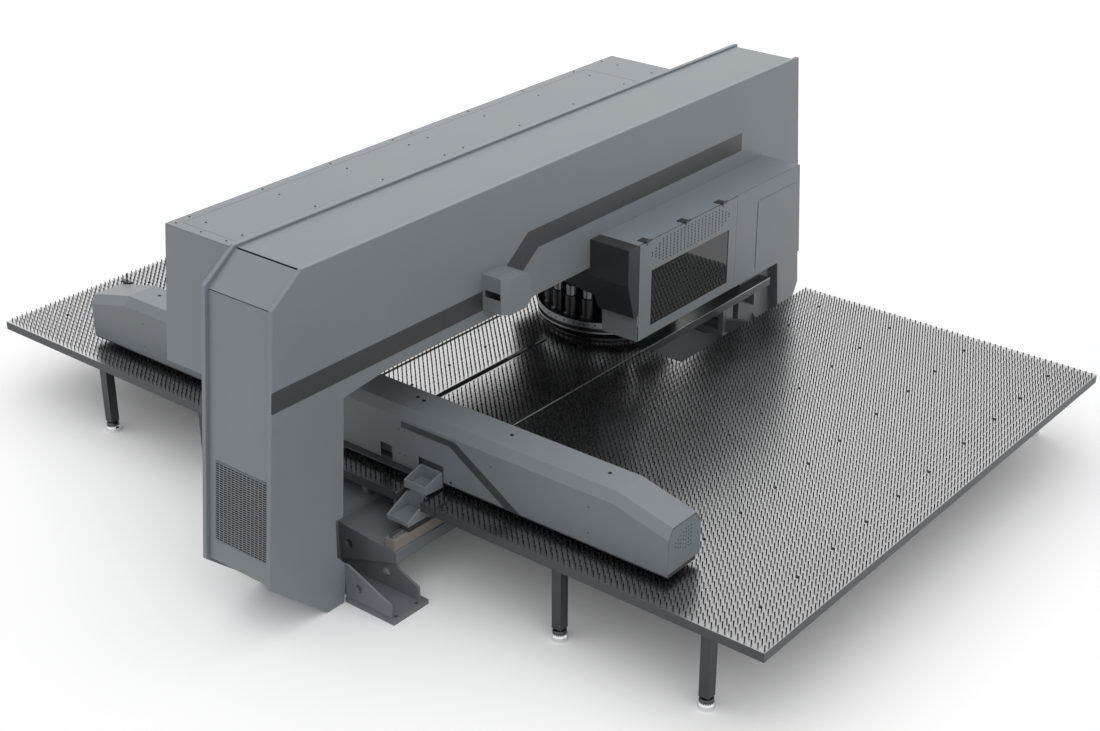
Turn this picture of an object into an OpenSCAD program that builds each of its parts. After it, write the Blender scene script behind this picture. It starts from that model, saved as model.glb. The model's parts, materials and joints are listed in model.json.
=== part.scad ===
// Punch-laser combination machine: portal frame with a tool turret, a laser head in a hood,
// brush tables and an X beam that carries the sheet clamps.
// Millimetres. Origin at the centre of the footprint on the floor, +X along the tables,
// +Y along the portal, +Z up.

/* [Tables] */
// Height of the deck above the floor
deck_z = 526; // [510:1:540]
// Thickness of the deck sheet
deck_t = 6; // [4:1:8]
// Height of the dark edge band
band_h = 56; // [50:1:56]
// Thickness of the edge band
band_t = 6; // [4:1:8]
// Outer end of the front and rear tables
table_x = 3093; // [3000:1:3150]
// Inner end of the front and rear tables
table_in = 890; // [889:1:894]
// Near edge of the tables
table_y0 = -1683; // [-1700:1:-1680]
// Far edge of the tables
table_y1 = 2267; // [2250:1:2280]
// Right edge of the middle table
mid_x1 = 590; // [586:1:592]
// Left edge of the moving leaf
leaf_x0 = 606; // [604:1:608]
// Far end of the moving leaf at rest
leaf_y1 = 726; // [680:1:740]
// Width of the square legs
leg_w = 64; // [56:1:68]
// Height of the levelling feet
level_h = 74; // [60:1:84]
// Height of the brush tufts
brush_h = 22; // [18:1:26]
// Width of a brush row
brush_w = 10; // [6:1:14]
// Pitch of the brush rows
brush_pitch = 40; // [36:2:60]
// Width of the slot for the rear guide web
slot_a_w = 25; // [22:1:30]
// Width of the slot for the nut web
slot_b_w = 45; // [40:1:50]

/* [Portal] */
// Overall height
frame_h = 2120; // [2110:1:2140]
// Thickness of the front and rear plates
plate_t = 30; // [24:1:34]
// Front face of the front plate
front_x = 580; // [576:1:584]
// Rear face of the rear plate
rear_x = 40; // [30:1:44]
// Underside of the beam
beam_z = 1316; // [1312:1:1320]
// Lean of the ends, sideways per height
lean = 0.104; // [0.098:0.002:0.106]
// Recess of the end panels
end_recess = 30; // [20:1:36]
// Thickness of the sheet panels
sheet_t = 6; // [4:1:8]
// Rear face of the rear cabinet
cab_x = -468; // [-500:1:-440]
// Far end of the rear cabinet
cab_y1 = 1717; // [1650:1:1760]
// Columns of grille slots
grille_cols = 13; // [6:1:14]
// Rows of grille slots
grille_rows = 30; // [8:1:32]

/* [Hood] */
// Front face of the hood
hood_x = 881; // [860:1:900]
// Near end of the hood
hood_y0 = 237; // [230:1:245]
// Height of the hood's lower edge
hood_z0 = 852; // [845:1:860]
// Height of the hood's top
hood_z1 = 1509; // [1500:1:1520]
// Joint between the door and the fixed front
hood_split = 1328; // [1310:1:1340]
// Depth of the dark cover on the hood's near end
end_depth = 107; // [90:1:115]
// Radius of a hole in the perforated field
perf_r = 6.5; // [5:0.5:8]
// Pitch of the columns in the perforated field
perf_dy = 38.8; // [36:0.2:39]
// Pitch of the rows in the perforated field
perf_dz = 20; // [18:0.5:20.5]
// Number of columns in the perforated field
perf_cols = 23; // [9:2:23]
// Number of rows in the perforated field
perf_rows = 8; // [4:2:8]
// Gap around the door
door_gap = 2; // [1:0.5:3]
// Radius of the hinge pins
hinge_pin_r = 4; // [3:0.5:5]

/* [Turret] */
// Radius of the upper turret disc
turret_r = 485; // [470:1:488]
// Radius of the lower turret disc
lower_r = 445; // [445:1:455]
// Height of the lip under the groove in the upper disc's rim
rim_lip = 12; // [8:1:16]
// Depth of the groove in the upper disc's rim
rim_groove = 18; // [10:1:24]
// Pitch radius of the tool stations
station_r = 400; // [390:1:410]
// Number of tool stations
stations = 20; // [10:2:22]
// Radius of a tool holder
holder_r = 46; // [36:1:48]
// Underside of the upper turret
upper_z = 600; // [596:1:610]
// Radius of the upper turret shaft
shaft_r = 90; // [80:1:100]
// Radius of the punch ram
ram_r = 40; // [34:1:42]
// Running clearance between moving pieces
run_fit = 0.4; // [0.3:0.05:0.5]

/* [X beam] */
// Near face of the X beam cover
cover_y0 = -1492; // [-1500:1:-1490]
// Width of the X beam cover
cover_w = 300; // [290:1:305]
// Lower edge of the cover
cover_z0 = 576; // [574:1:580]
// Top of the cover
cover_z1 = 948; // [930:1:960]
// Half length of the cover
cover_x = 2360; // [2340:1:2380]
// Where the cover begins to taper
taper_x = 2000; // [1900:1:2100]
// Height lost at the cover ends
taper_drop = 88; // [60:1:100]
// Thickness of the cover sheet
cover_t = 6; // [4:1:8]
// Clear height of the X beam above the brushes
beam_clear = 16; // [8:1:20]
// Radius of the Y screw
y_screw_r = 16; // [12:1:18]
// Radius of the X screw
x_screw_r = 12.5; // [10:0.5:14]
// Wall of the guide bracket
tray_t = 12; // [8:1:14]

/* [Anchors] */
// Radius of the anchor holes
anchor_r = 13; // [9:0.5:15]
// Spacing of the near anchor holes
near_pitch = 170; // [150:1:180]
// Spacing of the far anchor holes
far_pitch = 180; // [160:1:200]
// Thickness of the floor plates
foot_t = 30; // [24:1:36]

/* [Hidden] */
brush_top = deck_z + brush_h;
under_z = deck_z - deck_t;
band_z = deck_z - band_h;
leaf_x1 = table_in - 5;
mid_x0 = -(table_in - 7);
turret_gap = 15;
turret_land = 74;
turret_x = mid_x1 - turret_land - turret_gap - lower_r;
turret_y = 1018;
turret_near = turret_y - lower_r - turret_gap;
ram_y = turret_y - station_r;
slot_a_x = -511;
slot_b_x = -28;
slot_y0 = -1500;
slot_a_y1 = 525;
slot_b_y1 = turret_near - 124;
tube = 60;
tube_z = under_z - tube;
leaf_rail_z = tube_z;
front_legs = [1752, 2732];
rear_legs = [-1111, -2091];
leg_y = [table_y0 + 52, table_y1 - 52];
half_top = 2492;
end_chamfer = [207, 161];
sole_z = 359;
skin_t = 10;
foot_y0 = near(371);
foot_y1 = near(656);
foot_hole_y = near(501);
foot_x1 = 960;
rear_foot_x0 = -540;
foot_top = 250;
foot_tip = 118;
gusset_t = 15;
inner_x0 = rear_x + plate_t;
inner_x1 = front_x - plate_t;
col_x0 = 110;
col_x1 = 500;
col_y = far(492);
base_x0 = -220;
base_x1 = 330;
base_z = 380;
base_wall = 12;
bed_y0 = min(near(587), cover_y0 - 413);
bed_y1 = 350;
bed_x1 = 785;
bed_x0 = -560;
bed_root = [92, 339];
bed_tip = [230, 303];
weld_gap = 0.05;
seat_z = 372;
rail_h = 22;
rail_w = 28;
car_z0 = 376;
car_z1 = 409;
y_rail_front = 737;
y_rail_rear = slot_a_x;
y_screw_z = 425;
base_plate_z0 = brush_top + beam_clear;
base_plate_z1 = cover_z0 + 12;
cover_y1 = cover_y0 + cover_w;
in_y0 = cover_y0 + cover_t;
in_y1 = cover_y1 - cover_t;
box_y0 = cover_y0 + 52;
box_y1 = cover_y0 + 192;
box_z1 = base_plate_z1 + 200;
x_rail_z = [base_plate_z1 + 42, base_plate_z1 + 162];
x_screw_y = box_y1 + 64;
x_screw_z = base_plate_z1 + 102;
car_x0 = -2140;
car_x1 = -860;
clamp_x = [-2050, -1500, -950];
clamp_w = 120;
pivot_y = box_y1 + 160;
pivot_z = base_plate_z1 + 74;
pivot_r = 8;
jaw_w = 88;
tray_x0 = 605;
tray_x1 = 775;
laser_x = (mid_x1 + leaf_x0) / 2;
laser_y = ram_y;
ram_z = 945;
hinge_y = [324, 742, 1159];
hinge_r = 8;
side_y0 = -892;
side_y1 = -655;
side_z0 = 1398;
side_z1 = 1623;
side_x = 763;
window_y0 = 372;
window_y1 = 1239;
window_z0 = 918;
window_z1 = 1299;
skirt_z = 1030;
crease_z = 1265;
hood_far = [far(399), far(340)];
hinge_x = hood_x + hinge_r;
hinge_z = hood_z1 + hinge_r;
$fn = 48;

// Half length of the portal at a height
function half(z) = half_top + lean * (frame_h - z);

// Place in Y at a distance from the portal's near and far top corner
function near(d) = d - half_top;
function far(d) = half_top - d;

// Value between a and b at x on the way from x0 to x1
function between(x, x0, x1, a, b) = a + (b - a) * (x - x0) / (x1 - x0);

// Upper and lower face of the front and rear bed
function bed_top(x) = between(x, base_x1, bed_x1, bed_root[1], bed_tip[1]);
function bed_low(x) = between(x, base_x1, bed_x1, bed_root[0], bed_tip[0]);
function rear_top(x) = between(x, base_x0, bed_x0, bed_root[1], bed_tip[1]);
function rear_low(x) = between(x, base_x0, bed_x0, bed_root[0], bed_tip[0]);

// Inner edge of the portal, from the near foot over the throat to the far foot
inner_edge = [[near(280), 0], [near(335), 552], [near(394), 552], [near(400), 629],
  [near(450), beam_z - 37], [near(789), beam_z], [far(192), beam_z], [far(61), 0]];
// Direction in which the inner skin lies behind each point of that edge
skin_side = [[-1, 0], [-0.9, 1], [-0.9, 1], [-1, 0.1], [-0.9, 1], [-0.1, 1], [0.9, 1], [1, 0]];

// Block between two corners
module box(x0, x1, y0, y1, z0, z1) {
  translate([x0, y0, z0])
    cube([x1 - x0, y1 - y0, z1 - z0]);
}

// Profile in Y and Z, drawn out along X
module along_x(x0, x1) {
  translate([x0, 0, 0])
    rotate([90, 0, 90])
      linear_extrude(x1 - x0)
        children();
}

// Profile in X and Z, drawn out along Y
module along_y(y0, y1) {
  translate([0, y1, 0])
    rotate([90, 0, 0])
      linear_extrude(y1 - y0)
        children();
}

// Round bar along Y
module bar_y(x, z, r, y0, y1) {
  translate([x, y0, z])
    rotate([-90, 0, 0])
      cylinder(r = r, h = y1 - y0);
}

// Round bar along X
module bar_x(y, z, r, x0, x1) {
  translate([x0, y, z])
    rotate([0, 90, 0])
      cylinder(r = r, h = x1 - x0);
}

// Welded base box under the middle table, with the lower turret's bearing seat
module base_frame() {
  seat_r = 200;
  bearing_r = 120;
  color("#5a6064") {
    difference() {
      along_x(base_x0, base_x1)
        polygon([[near(280), 0], [near(318), base_z], [col_y, base_z], [col_y, 0]]);
      box(base_x0 + base_wall, base_x1 - base_wall, near(192), col_y + 1, base_wall, base_z - base_wall);
    }
    difference() {
      translate([turret_x, turret_y, base_z])
        cylinder(r = seat_r, h = 70);
      translate([turret_x, turret_y, base_z + 4])
        cylinder(r = bearing_r + run_fit, h = 70);
    }
  }
}

// Cantilevered beds for the two Y rails, the front one with a lifting hole
module guide_beds() {
  color("#5a6064") {
    difference() {
      along_y(bed_y0, bed_y1)
        polygon([[base_x1, bed_root[0]], [base_x1, bed_root[1]], [bed_x1, bed_tip[1]], [bed_x1, bed_tip[0]]]);
      bar_y(406, 220, 28, bed_y0 - 1, bed_y0 + 300);
    }
    along_y(bed_y0, bed_y1)
      polygon([[base_x0, bed_root[0]], [base_x0, bed_root[1]], [bed_x0, bed_tip[1]], [bed_x0, bed_tip[0]]]);
  }
}

// Seats that carry the Y rails
module rail_seats() {
  w = 37;
  color("#968c84") {
    along_y(bed_y0 + 5, bed_y1 - 10)
      polygon([[y_rail_front - w, bed_top(y_rail_front - w) + weld_gap],
        [y_rail_front + w, bed_top(y_rail_front + w) + weld_gap],
        [y_rail_front + w, seat_z], [y_rail_front - w, seat_z]]);
    along_y(bed_y0 + 5, bed_y1 - 10)
      polygon([[y_rail_rear - w, rear_top(y_rail_rear - w) + weld_gap],
        [y_rail_rear + w, rear_top(y_rail_rear + w) + weld_gap],
        [y_rail_rear + w, seat_z], [y_rail_rear - w, seat_z]]);
  }
}

// Linear rails for the Y travel
module y_rails() {
  color("#c8cbcd") {
    for (x = [y_rail_front, y_rail_rear]) {
      box(x - rail_w / 2, x + rail_w / 2, bed_y0 + 15, bed_y1 - 20, seat_z, seat_z + rail_h);
    }
  }
}

// Bearing blocks and motor of the Y screw
module y_drive() {
  color("#3a3e41") {
    difference() {
      union() {
        box(slot_b_x - 40, slot_b_x + 40, -1670, -1640, base_z, base_z + 85);
        box(slot_b_x - 40, slot_b_x + 40, 170, 200, base_z, base_z + 85);
      }
      bar_y(slot_b_x, y_screw_z, y_screw_r + run_fit, -1671, 196);
    }
    bar_y(slot_b_x, y_screw_z, 44, 200, 400);
  }
}

// Drilled gusset: profile in X and Z with a round hole
module gusset(y0, outline, hole_x) {
  difference() {
    along_y(y0, y0 + gusset_t)
      polygon(outline);
    bar_y(hole_x, 127, 27, y0 - 1, y0 + gusset_t + 1);
  }
}

// Floor plate with two anchor holes
module foot_plate(x0, x1, y0, y1, hole_x, hole_y, pitch) {
  difference() {
    box(x0, x1, y0, y1, 0, foot_t);
    for (s = [-1, 1]) {
      translate([hole_x, hole_y + s * pitch / 2, -1])
        cylinder(r = anchor_r, h = foot_t + 2);
    }
  }
}

// Near front foot: floor plate and two gussets, one on the front plate, one under the bed
module near_front_foot() {
  tip = foot_x1 - 30;
  meet = 720;
  foot_plate(front_x, foot_x1, foot_y0, foot_y1, tip, foot_hole_y, near_pitch);
  box(base_x1, front_x, foot_y0 + 60, foot_y1, 0, foot_t);
  gusset(foot_y0 + 8, [[front_x, foot_t], [front_x, foot_top], [front_x + 29, foot_top],
    [tip, foot_tip], [tip, foot_t]], 682);
  gusset(foot_y1 - 48, [[base_x1, foot_t], [base_x1, bed_low(base_x1) - weld_gap],
    [meet, bed_low(meet) - weld_gap], [tip, foot_tip], [tip, foot_t]], 682);
}

// Near rear foot: floor plate and two gussets on the base box
module near_rear_foot() {
  tip = rear_foot_x0 + 30;
  meet = -410;
  foot_plate(rear_foot_x0, base_x0, foot_y0, foot_y1, tip, foot_hole_y, near_pitch);
  gusset(foot_y0 + 8, [[base_x0, foot_t], [base_x0, foot_top], [base_x0 - 29, foot_top],
    [tip, foot_tip], [tip, foot_t]], -330);
  gusset(foot_y1 - 48, [[base_x0, foot_t], [base_x0, rear_low(base_x0) - weld_gap],
    [meet, rear_low(meet) - weld_gap], [tip, foot_tip], [tip, foot_t]], -380);
}

// Far foot: floor plate with anchor holes and one gusset
module far_foot() {
  along_y(far(300), far(284))
    polygon([[col_x1, foot_t], [col_x1, foot_top], [col_x1 + 130, 100], [col_x1 + 130, foot_t]]);
  foot_plate(col_x1, col_x1 + 190, far(442), far(142), col_x1 + 160, far(292), far_pitch);
}

// Four anchored feet
module anchor_feet() {
  color("#6b7278") {
    near_front_foot();
    near_rear_foot();
    far_foot();
    translate([col_x0 + col_x1, 0, 0])
      mirror([1, 0, 0])
        far_foot();
  }
}

// Outline of the portal plates, with the points of the near foot from the top down
module portal_outline(foot) {
  polygon(concat([[near(230), 0], [-half(sole_z), sole_z],
      [-half(frame_h - end_chamfer[1]), frame_h - end_chamfer[1]], [near(end_chamfer[0]), frame_h],
      [half_top, frame_h], [half(sole_z), sole_z], [far(12), 0]],
    [for (i = [len(inner_edge) - 1 : -1 : 1]) inner_edge[i]], foot));
}

// Front plate of the portal, with a flare that carries the near foot
module front_plate() {
  color("#737b83")
    along_x(front_x - plate_t, front_x)
      portal_outline([[near(330), 319], [near(399), 237], [near(361), 0]]);
}

// Rear plate of the portal
module rear_plate() {
  color("#737b83")
    along_x(rear_x, rear_x + plate_t)
      portal_outline([inner_edge[0]]);
}

// Inner skin of columns and beam, with three diaphragms in the beam
module inner_skin() {
  last = len(inner_edge) - 1;
  mid_z = (beam_z + frame_h) / 2;
  hole_r = 150;
  color("#6b7278") {
    along_x(inner_x0, inner_x1)
      polygon(concat(inner_edge, [for (i = [last : -1 : 0]) inner_edge[i] + skin_t * skin_side[i]]));
    for (y = [near(892), 100, far(692)]) {
      difference() {
        box(inner_x0, inner_x1, y, y + 12, beam_z + 5, frame_h - 20);
        bar_y((inner_x0 + inner_x1) / 2, mid_z, hole_r, y - 1, y + 13);
      }
    }
  }
}

// Sunken cover on top of the beam
module top_cover() {
  color("#a0a5a8")
    box(inner_x0, inner_x1, near(224), far(end_recess), frame_h - 20, frame_h - 14);
}

// Leaning near end panel and its chamfer, with a joint between them and below the top cover
module near_end_panel() {
  back = end_recess;
  face = end_recess - sheet_t;
  crease = frame_h - 180;
  joint = 5;
  color("#7d8284")
    difference() {
      along_x(inner_x0, inner_x1)
        polygon([[near(242), 30], [-half(sole_z + 6) + back, sole_z + 6], [-half(crease) + back, crease],
          [near(224), frame_h - 24], [near(224), frame_h - 15], [near(218), frame_h - 15],
          [-half(crease + 3) + face, crease + 3], [-half(sole_z + 3) + face, sole_z + 3], [near(230), 30]]);
      box(inner_x0 - 1, inner_x1 + 1, near(0) - 60, near(60), crease - joint, crease);
      box(inner_x0 - 1, inner_x1 + 1, near(218) - joint, near(225), frame_h - 40, frame_h);
    }
}

// Slotted grille on the near end panel
module near_grille() {
  w = 418;
  h = 480;
  px = w / (grille_cols + 0.5);
  pz = h / (grille_rows + 1);
  color("#5a6064")
    translate([120, -half(493) + end_recess - sheet_t, 493])
      rotate([-atan(lean), 0, 0])
        along_y(-5, 0)
          difference() {
            square([w, h]);
            for (i = [0 : grille_cols - 1]) {
              for (j = [0 : grille_rows - 1]) {
                translate([px * (i + 0.3 + 0.4 * (j % 2)), pz * (j + 0.8)])
                  square([px * 0.62, pz * 0.4]);
              }
            }
          }
}

// Far end panel
module far_end_panel() {
  back = end_recess;
  face = end_recess - sheet_t;
  color("#7d8284")
    along_x(inner_x0, inner_x1)
      polygon([[far(24), 30], [half(sole_z + 6) - back, sole_z + 6], [far(back), frame_h - 14],
        [far(face), frame_h - 14], [half(sole_z + 3) - face, sole_z + 3], [far(14), 30]]);
}

// Outline of the chamfered box in Y and Z, drawn in by d
module side_outline(d) {
  polygon([[side_y0 + d, side_z0 + d], [side_y1 - 56 - d, side_z0 + d], [side_y1 - d, side_z0 + 52 + d],
    [side_y1 - 26 - d, side_z1 - 18 - d], [side_y1 - 86 - d, side_z1 - d], [side_y0 + d, side_z1 - d]]);
}

// Dark stripe on the front face, with a step up
module accent_stripe() {
  low = [1390, 1511];
  high = [1623, 1749];
  color("#41464a")
    along_x(front_x, front_x + 2)
      difference() {
        polygon([[-half(low[0]), low[0]], [-700, low[0]], [-380, high[0]], [far(682), high[0]],
          [far(682), high[1]], [-470, high[1]], [-790, low[1]], [-half(low[1]), low[1]]]);
        side_outline(0);
      }
}

// Inner far column with an access panel
module far_inner_column() {
  wall = 10;
  color("#6b7278") {
    difference() {
      along_x(col_x0, col_x1)
        polygon([[col_y, 0], [far(61), 0], [far(192), beam_z], [col_y, beam_z]]);
      box(col_x0 + wall, col_x1 - wall, col_y + wall, half_top, wall, beam_z - wall);
    }
    box(col_x1, col_x1 + 4, col_y + 60, col_y + 260, 560, 1000);
  }
}

// Cabinet behind the beam, open to the top and to the rear plate
module rear_cabinet() {
  z1 = frame_h - 12;
  low_y = near(108);
  slope = 83 / (frame_h - beam_z);
  color("#8b9196")
    difference() {
      along_x(cab_x, rear_x)
        polygon([[low_y, beam_z], [low_y + slope * (z1 - beam_z), z1], [cab_y1, z1], [cab_y1, beam_z]]);
      along_x(cab_x + sheet_t, rear_x + 1)
        polygon([[low_y + sheet_t, beam_z + sheet_t], [low_y + sheet_t + slope * (z1 + 1 - beam_z), z1 + 1],
          [cab_y1 - sheet_t, z1 + 1], [cab_y1 - sheet_t, beam_z + sheet_t]]);
    }
}

// Lid of the rear cabinet
module cabinet_lid() {
  color("#a0a5a8")
    box(cab_x, rear_x, near(191), cab_y1, frame_h - 12, frame_h - 6);
}

// Plan of the chamfered box, drawn in by d
module side_plan(d) {
  polygon([[front_x, side_y0 + d], [side_x - 40 - d, side_y0 + d], [side_x - d, side_y0 + 40 + d],
    [side_x - d, side_y1], [front_x, side_y1]]);
}

// Chamfered box on the beam front, with a slot in its near face
module side_box() {
  wall = 3;
  color("#7d8284")
    difference() {
      intersection() {
        along_x(front_x, side_x)
          side_outline(0);
        translate([0, 0, side_z0])
          linear_extrude(side_z1 - side_z0)
            side_plan(0);
      }
      intersection() {
        along_x(front_x - 1, side_x)
          side_outline(wall);
        translate([-1, 0, side_z0])
          linear_extrude(side_z1 - side_z0)
            side_plan(wall);
      }
      box(600, 716, side_y0 - 1, side_y0 + wall + 1, side_z0 + 86, side_z0 + 130);
    }
}

// Shell of the hood: top, far end, fixed front, near skirt, hinge leaves
module hood_shell() {
  t = 4;
  color("#8b9196") {
    box(front_x, hood_x - 8, hood_y0, hood_far[0], hood_z1 - t, hood_z1);
    along_x(front_x, hood_x)
      polygon([[hood_far[0], hood_z1], [hood_far[1], hood_z0], [hood_far[1] - t, hood_z0],
        [hood_far[0] - t, hood_z1]]);
    along_x(hood_x - t, hood_x)
      polygon([[hood_split, hood_z0], [hood_split, hood_z1], [hood_far[0], hood_z1], [hood_far[1], hood_z0]]);
    box(hood_x - 10, hood_x - t, hood_split, hood_split + 30, hood_z0, hood_z1 - t);
    box(hood_x - 10, hood_x - t, hood_split, hood_far[0] - 3, hood_z1 - 30, hood_z1 - t);
    box(front_x + 21, hood_x - 6, hood_y0, hood_y0 + t, hood_z0, skirt_z);
    for (y = hinge_y) {
      box(hood_x - 60, hood_x - 2, y - 30, y + 30, hood_z1, hood_z1 + 4);
      box(hood_x - 10, hinge_x, y - 30, y - 10, hood_z1, hood_z1 + 4);
      bar_y(hinge_x, hinge_z, hinge_r, y - 30, y - 10);
      bar_y(hinge_x, hinge_z, hinge_pin_r, y - 12, y + 30);
    }
  }
}

// Profile of the dark end cover in Y and Z: upright above, drawn back below, drawn in by d
module end_profile(d) {
  face = hood_y0 - end_depth + d;
  polygon([[hood_y0 + 6, skirt_z + d], [face + 65, skirt_z + d], [face, crease_z + d / 3],
    [face, hood_z1 - d], [hood_y0, hood_z1 - d], [hood_y0, hood_z1 - 4 - d], [hood_y0 + 6, hood_z1 - 4 - d]]);
}

// Dark end cover of the hood, with a wing that reaches back under the beam
module hood_end_panel() {
  wing_x = 110;
  wing_z = 1124;
  color("#2a2e30")
    difference() {
      intersection() {
        along_x(wing_x, hood_x - 1)
          end_profile(0);
        along_y(hood_y0 - end_depth - 1, hood_y0 + 7)
          polygon([[wing_x, wing_z + 66], [534, wing_z], [front_x + 6, wing_z], [front_x + 21, skirt_z],
            [hood_x - 1, skirt_z], [hood_x - 1, hood_z1], [front_x, hood_z1], [front_x, beam_z],
            [wing_x, beam_z]]);
      }
      along_x(front_x + sheet_t, hood_x - 1 - sheet_t)
        intersection() {
          end_profile(sheet_t);
          translate([hood_y0 - end_depth, skirt_z])
            square([end_depth + 10, hood_z1 - skirt_z]);
        }
      box(front_x + sheet_t, hood_x - 1 - sheet_t, hood_y0 - 10, hood_y0 + 7, skirt_z + sheet_t,
        hood_z1 - 4 - sheet_t);
    }
}

// Screwed access panel on the fixed front
module hood_access_panel() {
  color("#7d8284")
    box(hood_x, hood_x + 4, hood_split + 252, hood_far[0] - 43, hood_z0 + 58, hood_z1 - 114);
}

// Deck of a straight table
module straight_deck(x0, x1) {
  color("#cdcdcb") {
    box(x0, x1, table_y0, table_y1, under_z, deck_z);
    difference() {
      box(x0, x1, table_y0, table_y1, band_z, under_z);
      box(x0 + band_t, x1 - band_t, table_y0 + band_t, table_y1 - band_t, band_z - 1, under_z + 1);
    }
  }
}

// Front table deck
module front_deck() {
  straight_deck(table_in, table_x);
}

// Rear table deck
module rear_deck() {
  straight_deck(-table_x, -(table_in - 3));
}

// Openings in the middle table
module mid_openings(z0, z1) {
  translate([turret_x, turret_y, z0])
    cylinder(r = lower_r + turret_gap, h = z1 - z0, $fn = 96);
  box(slot_a_x - slot_a_w / 2, slot_a_x + slot_a_w / 2, slot_y0, slot_a_y1, z0, z1);
  box(slot_b_x - slot_b_w / 2, slot_b_x + slot_b_w / 2, slot_y0, slot_b_y1, z0, z1);
  box(col_x0 - 10, col_x1 + 10, col_y - 10, table_y1 + 10, z0, z1);
}

// Middle table deck
module mid_deck() {
  color("#cdcdcb")
    difference() {
      box(mid_x0, mid_x1, table_y0, table_y1, band_z, deck_z);
      box(mid_x0 + band_t, mid_x1 - band_t, table_y0 + band_t, table_y1 - band_t, band_z - 1, under_z);
      mid_openings(band_z - 1, deck_z + 1);
    }
}

// Tubes, legs of a table
module table_frame(x0, x1, legs) {
  for (y = leg_y) {
    box(x0, x1, y - tube / 2, y + tube / 2, tube_z, under_z);
    for (x = legs) {
      box(x - leg_w / 2, x + leg_w / 2, y - leg_w / 2, y + leg_w / 2, level_h, tube_z);
    }
  }
}

// Front table frame, with the ledge on which the leaf runs
module front_table_frame() {
  color("#464a4c") {
    table_frame(table_in + band_t, table_x - 60, front_legs);
    for (x = concat([table_in + band_t + tube / 2], front_legs)) {
      box(x - tube / 2, x + tube / 2, leg_y[0], leg_y[1], tube_z, under_z);
    }
    box(leaf_x1 - 39, table_in + band_t + tube, leg_y[0], leg_y[1], leaf_rail_z - 20, leaf_rail_z);
  }
}

// Rear table frame
module rear_table_frame() {
  color("#464a4c") {
    table_frame(-(table_x - 60), -(table_in + band_t), rear_legs);
    for (x = concat([-(table_in + band_t + tube / 2)], rear_legs)) {
      box(x - tube / 2, x + tube / 2, leg_y[0], leg_y[1], tube_z, under_z);
    }
  }
}

// Posts and arms that carry the middle table and the inner edges of the other tables
module mid_supports() {
  px1 = mid_x1 - band_t;
  px0 = px1 - 40;
  color("#6b7278") {
    for (p = [[-180, -1600], [270, -1600], [-180, turret_near - 88], [270, turret_near - 88],
        [-180, 1700], [270, 1700]]) {
      box(p[0] - 20, p[0] + 20, p[1] - 20, p[1] + 20, base_z, under_z);
    }
    for (y = [-1640, -600, 300]) {
      along_y(y - 20, y + 20)
        polygon([[px0, bed_top(px0)], [px1, bed_top(px1)], [px1, under_z], [px0, under_z]]);
    }
    box(px0, px1, 1674, 1797, 270, under_z);
    box(base_x1, px1, 1674, 1797, 270, 310);
    box(px0, px1, col_y + 70, col_y + 110, 374, under_z);
    box(col_x1, px1, col_y + 70, col_y + 110, 374, 414);
    along_y(-900, -860)
      polygon([[bed_x1, 259], [bed_x1, bed_tip[1]], [leaf_x1 - 35, leaf_rail_z - 20],
        [950, leaf_rail_z - 20], [950, leaf_rail_z - 50]]);
    along_y(1715, 1755)
      polygon([[base_x1, 230], [base_x1, 330], [leaf_x1 - 35, leaf_rail_z - 20],
        [950, leaf_rail_z - 20], [950, leaf_rail_z - 50], [420, 230]]);
    along_y(-900, -860)
      polygon([[bed_x0, 259], [bed_x0, bed_tip[1]], [-840, tube_z], [-840, under_z],
        [mid_x0 + band_t, under_z],
        [mid_x0 + band_t, tube_z], [-950, tube_z], [-950, tube_z - 30]]);
    along_y(1715, 1755)
      polygon([[base_x0, 230], [base_x0, 330], [-840, tube_z], [-840, under_z],
        [mid_x0 + band_t, under_z], [mid_x0 + band_t, tube_z], [-950, tube_z],
        [-950, tube_z - 30], [-310, 230]]);
  }
}

// Bell-shaped levelling feet
module levelling_feet() {
  color("#d8dadc")
    for (x = concat(front_legs, rear_legs)) {
      for (y = leg_y) {
        translate([x, y, 0])
          rotate_extrude()
            polygon([[0, 0], [50, 0], [50, 10], [47, 26], [42, 36], [41, level_h - 18], [36, level_h - 10],
              [18, level_h - 8], [18, level_h], [0, level_h]]);
      }
    }
}

// Brush rows on a mat
module brush_field(x0, x1, y0, y1) {
  n = floor((x1 - x0 - brush_w) / brush_pitch);
  first = (x0 + x1 - n * brush_pitch) / 2;
  box(x0, x1, y0, y1, deck_z, deck_z + 2);
  for (i = [0 : n]) {
    box(first + i * brush_pitch - brush_w / 2, first + i * brush_pitch + brush_w / 2, y0, y1,
      deck_z, brush_top);
  }
}

// Brush of the front table
module front_brush() {
  color("#1c1d1e")
    brush_field(table_in + 15, table_x - 15, table_y0 + 15, table_y1 - 15);
}

// Brush of the middle table
module mid_brush() {
  color("#1c1d1e")
    difference() {
      brush_field(mid_x0 + 15, mid_x1 - 15, table_y0 + 15, table_y1 - 15);
      mid_openings(deck_z - 1, brush_top + 1);
    }
}

// Brush of the rear table
module rear_brush() {
  color("#1c1d1e")
    brush_field(-table_x + 15, -(table_in - 3) - 15, table_y0 + 15, table_y1 - 15);
}

// Bearing housing of the upper turret
module turret_housing() {
  color("#5a6064")
    translate([turret_x, turret_y, 0])
      difference() {
        translate([0, 0, 1180])
          cylinder(r = 230, h = beam_z - 1180);
        translate([0, 0, 1179])
          cylinder(r = shaft_r + run_fit, h = 1265 - 1179);
      }
}

// Guide block of the punch ram
module ram_guide() {
  color("#5a6064")
    difference() {
      box(turret_x - 95, turret_x + 95, ram_y - 115, ram_y + 115, 1000, beam_z);
      translate([turret_x, ram_y, 999])
        cylinder(r = ram_r + run_fit, h = 302);
    }
}

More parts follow.
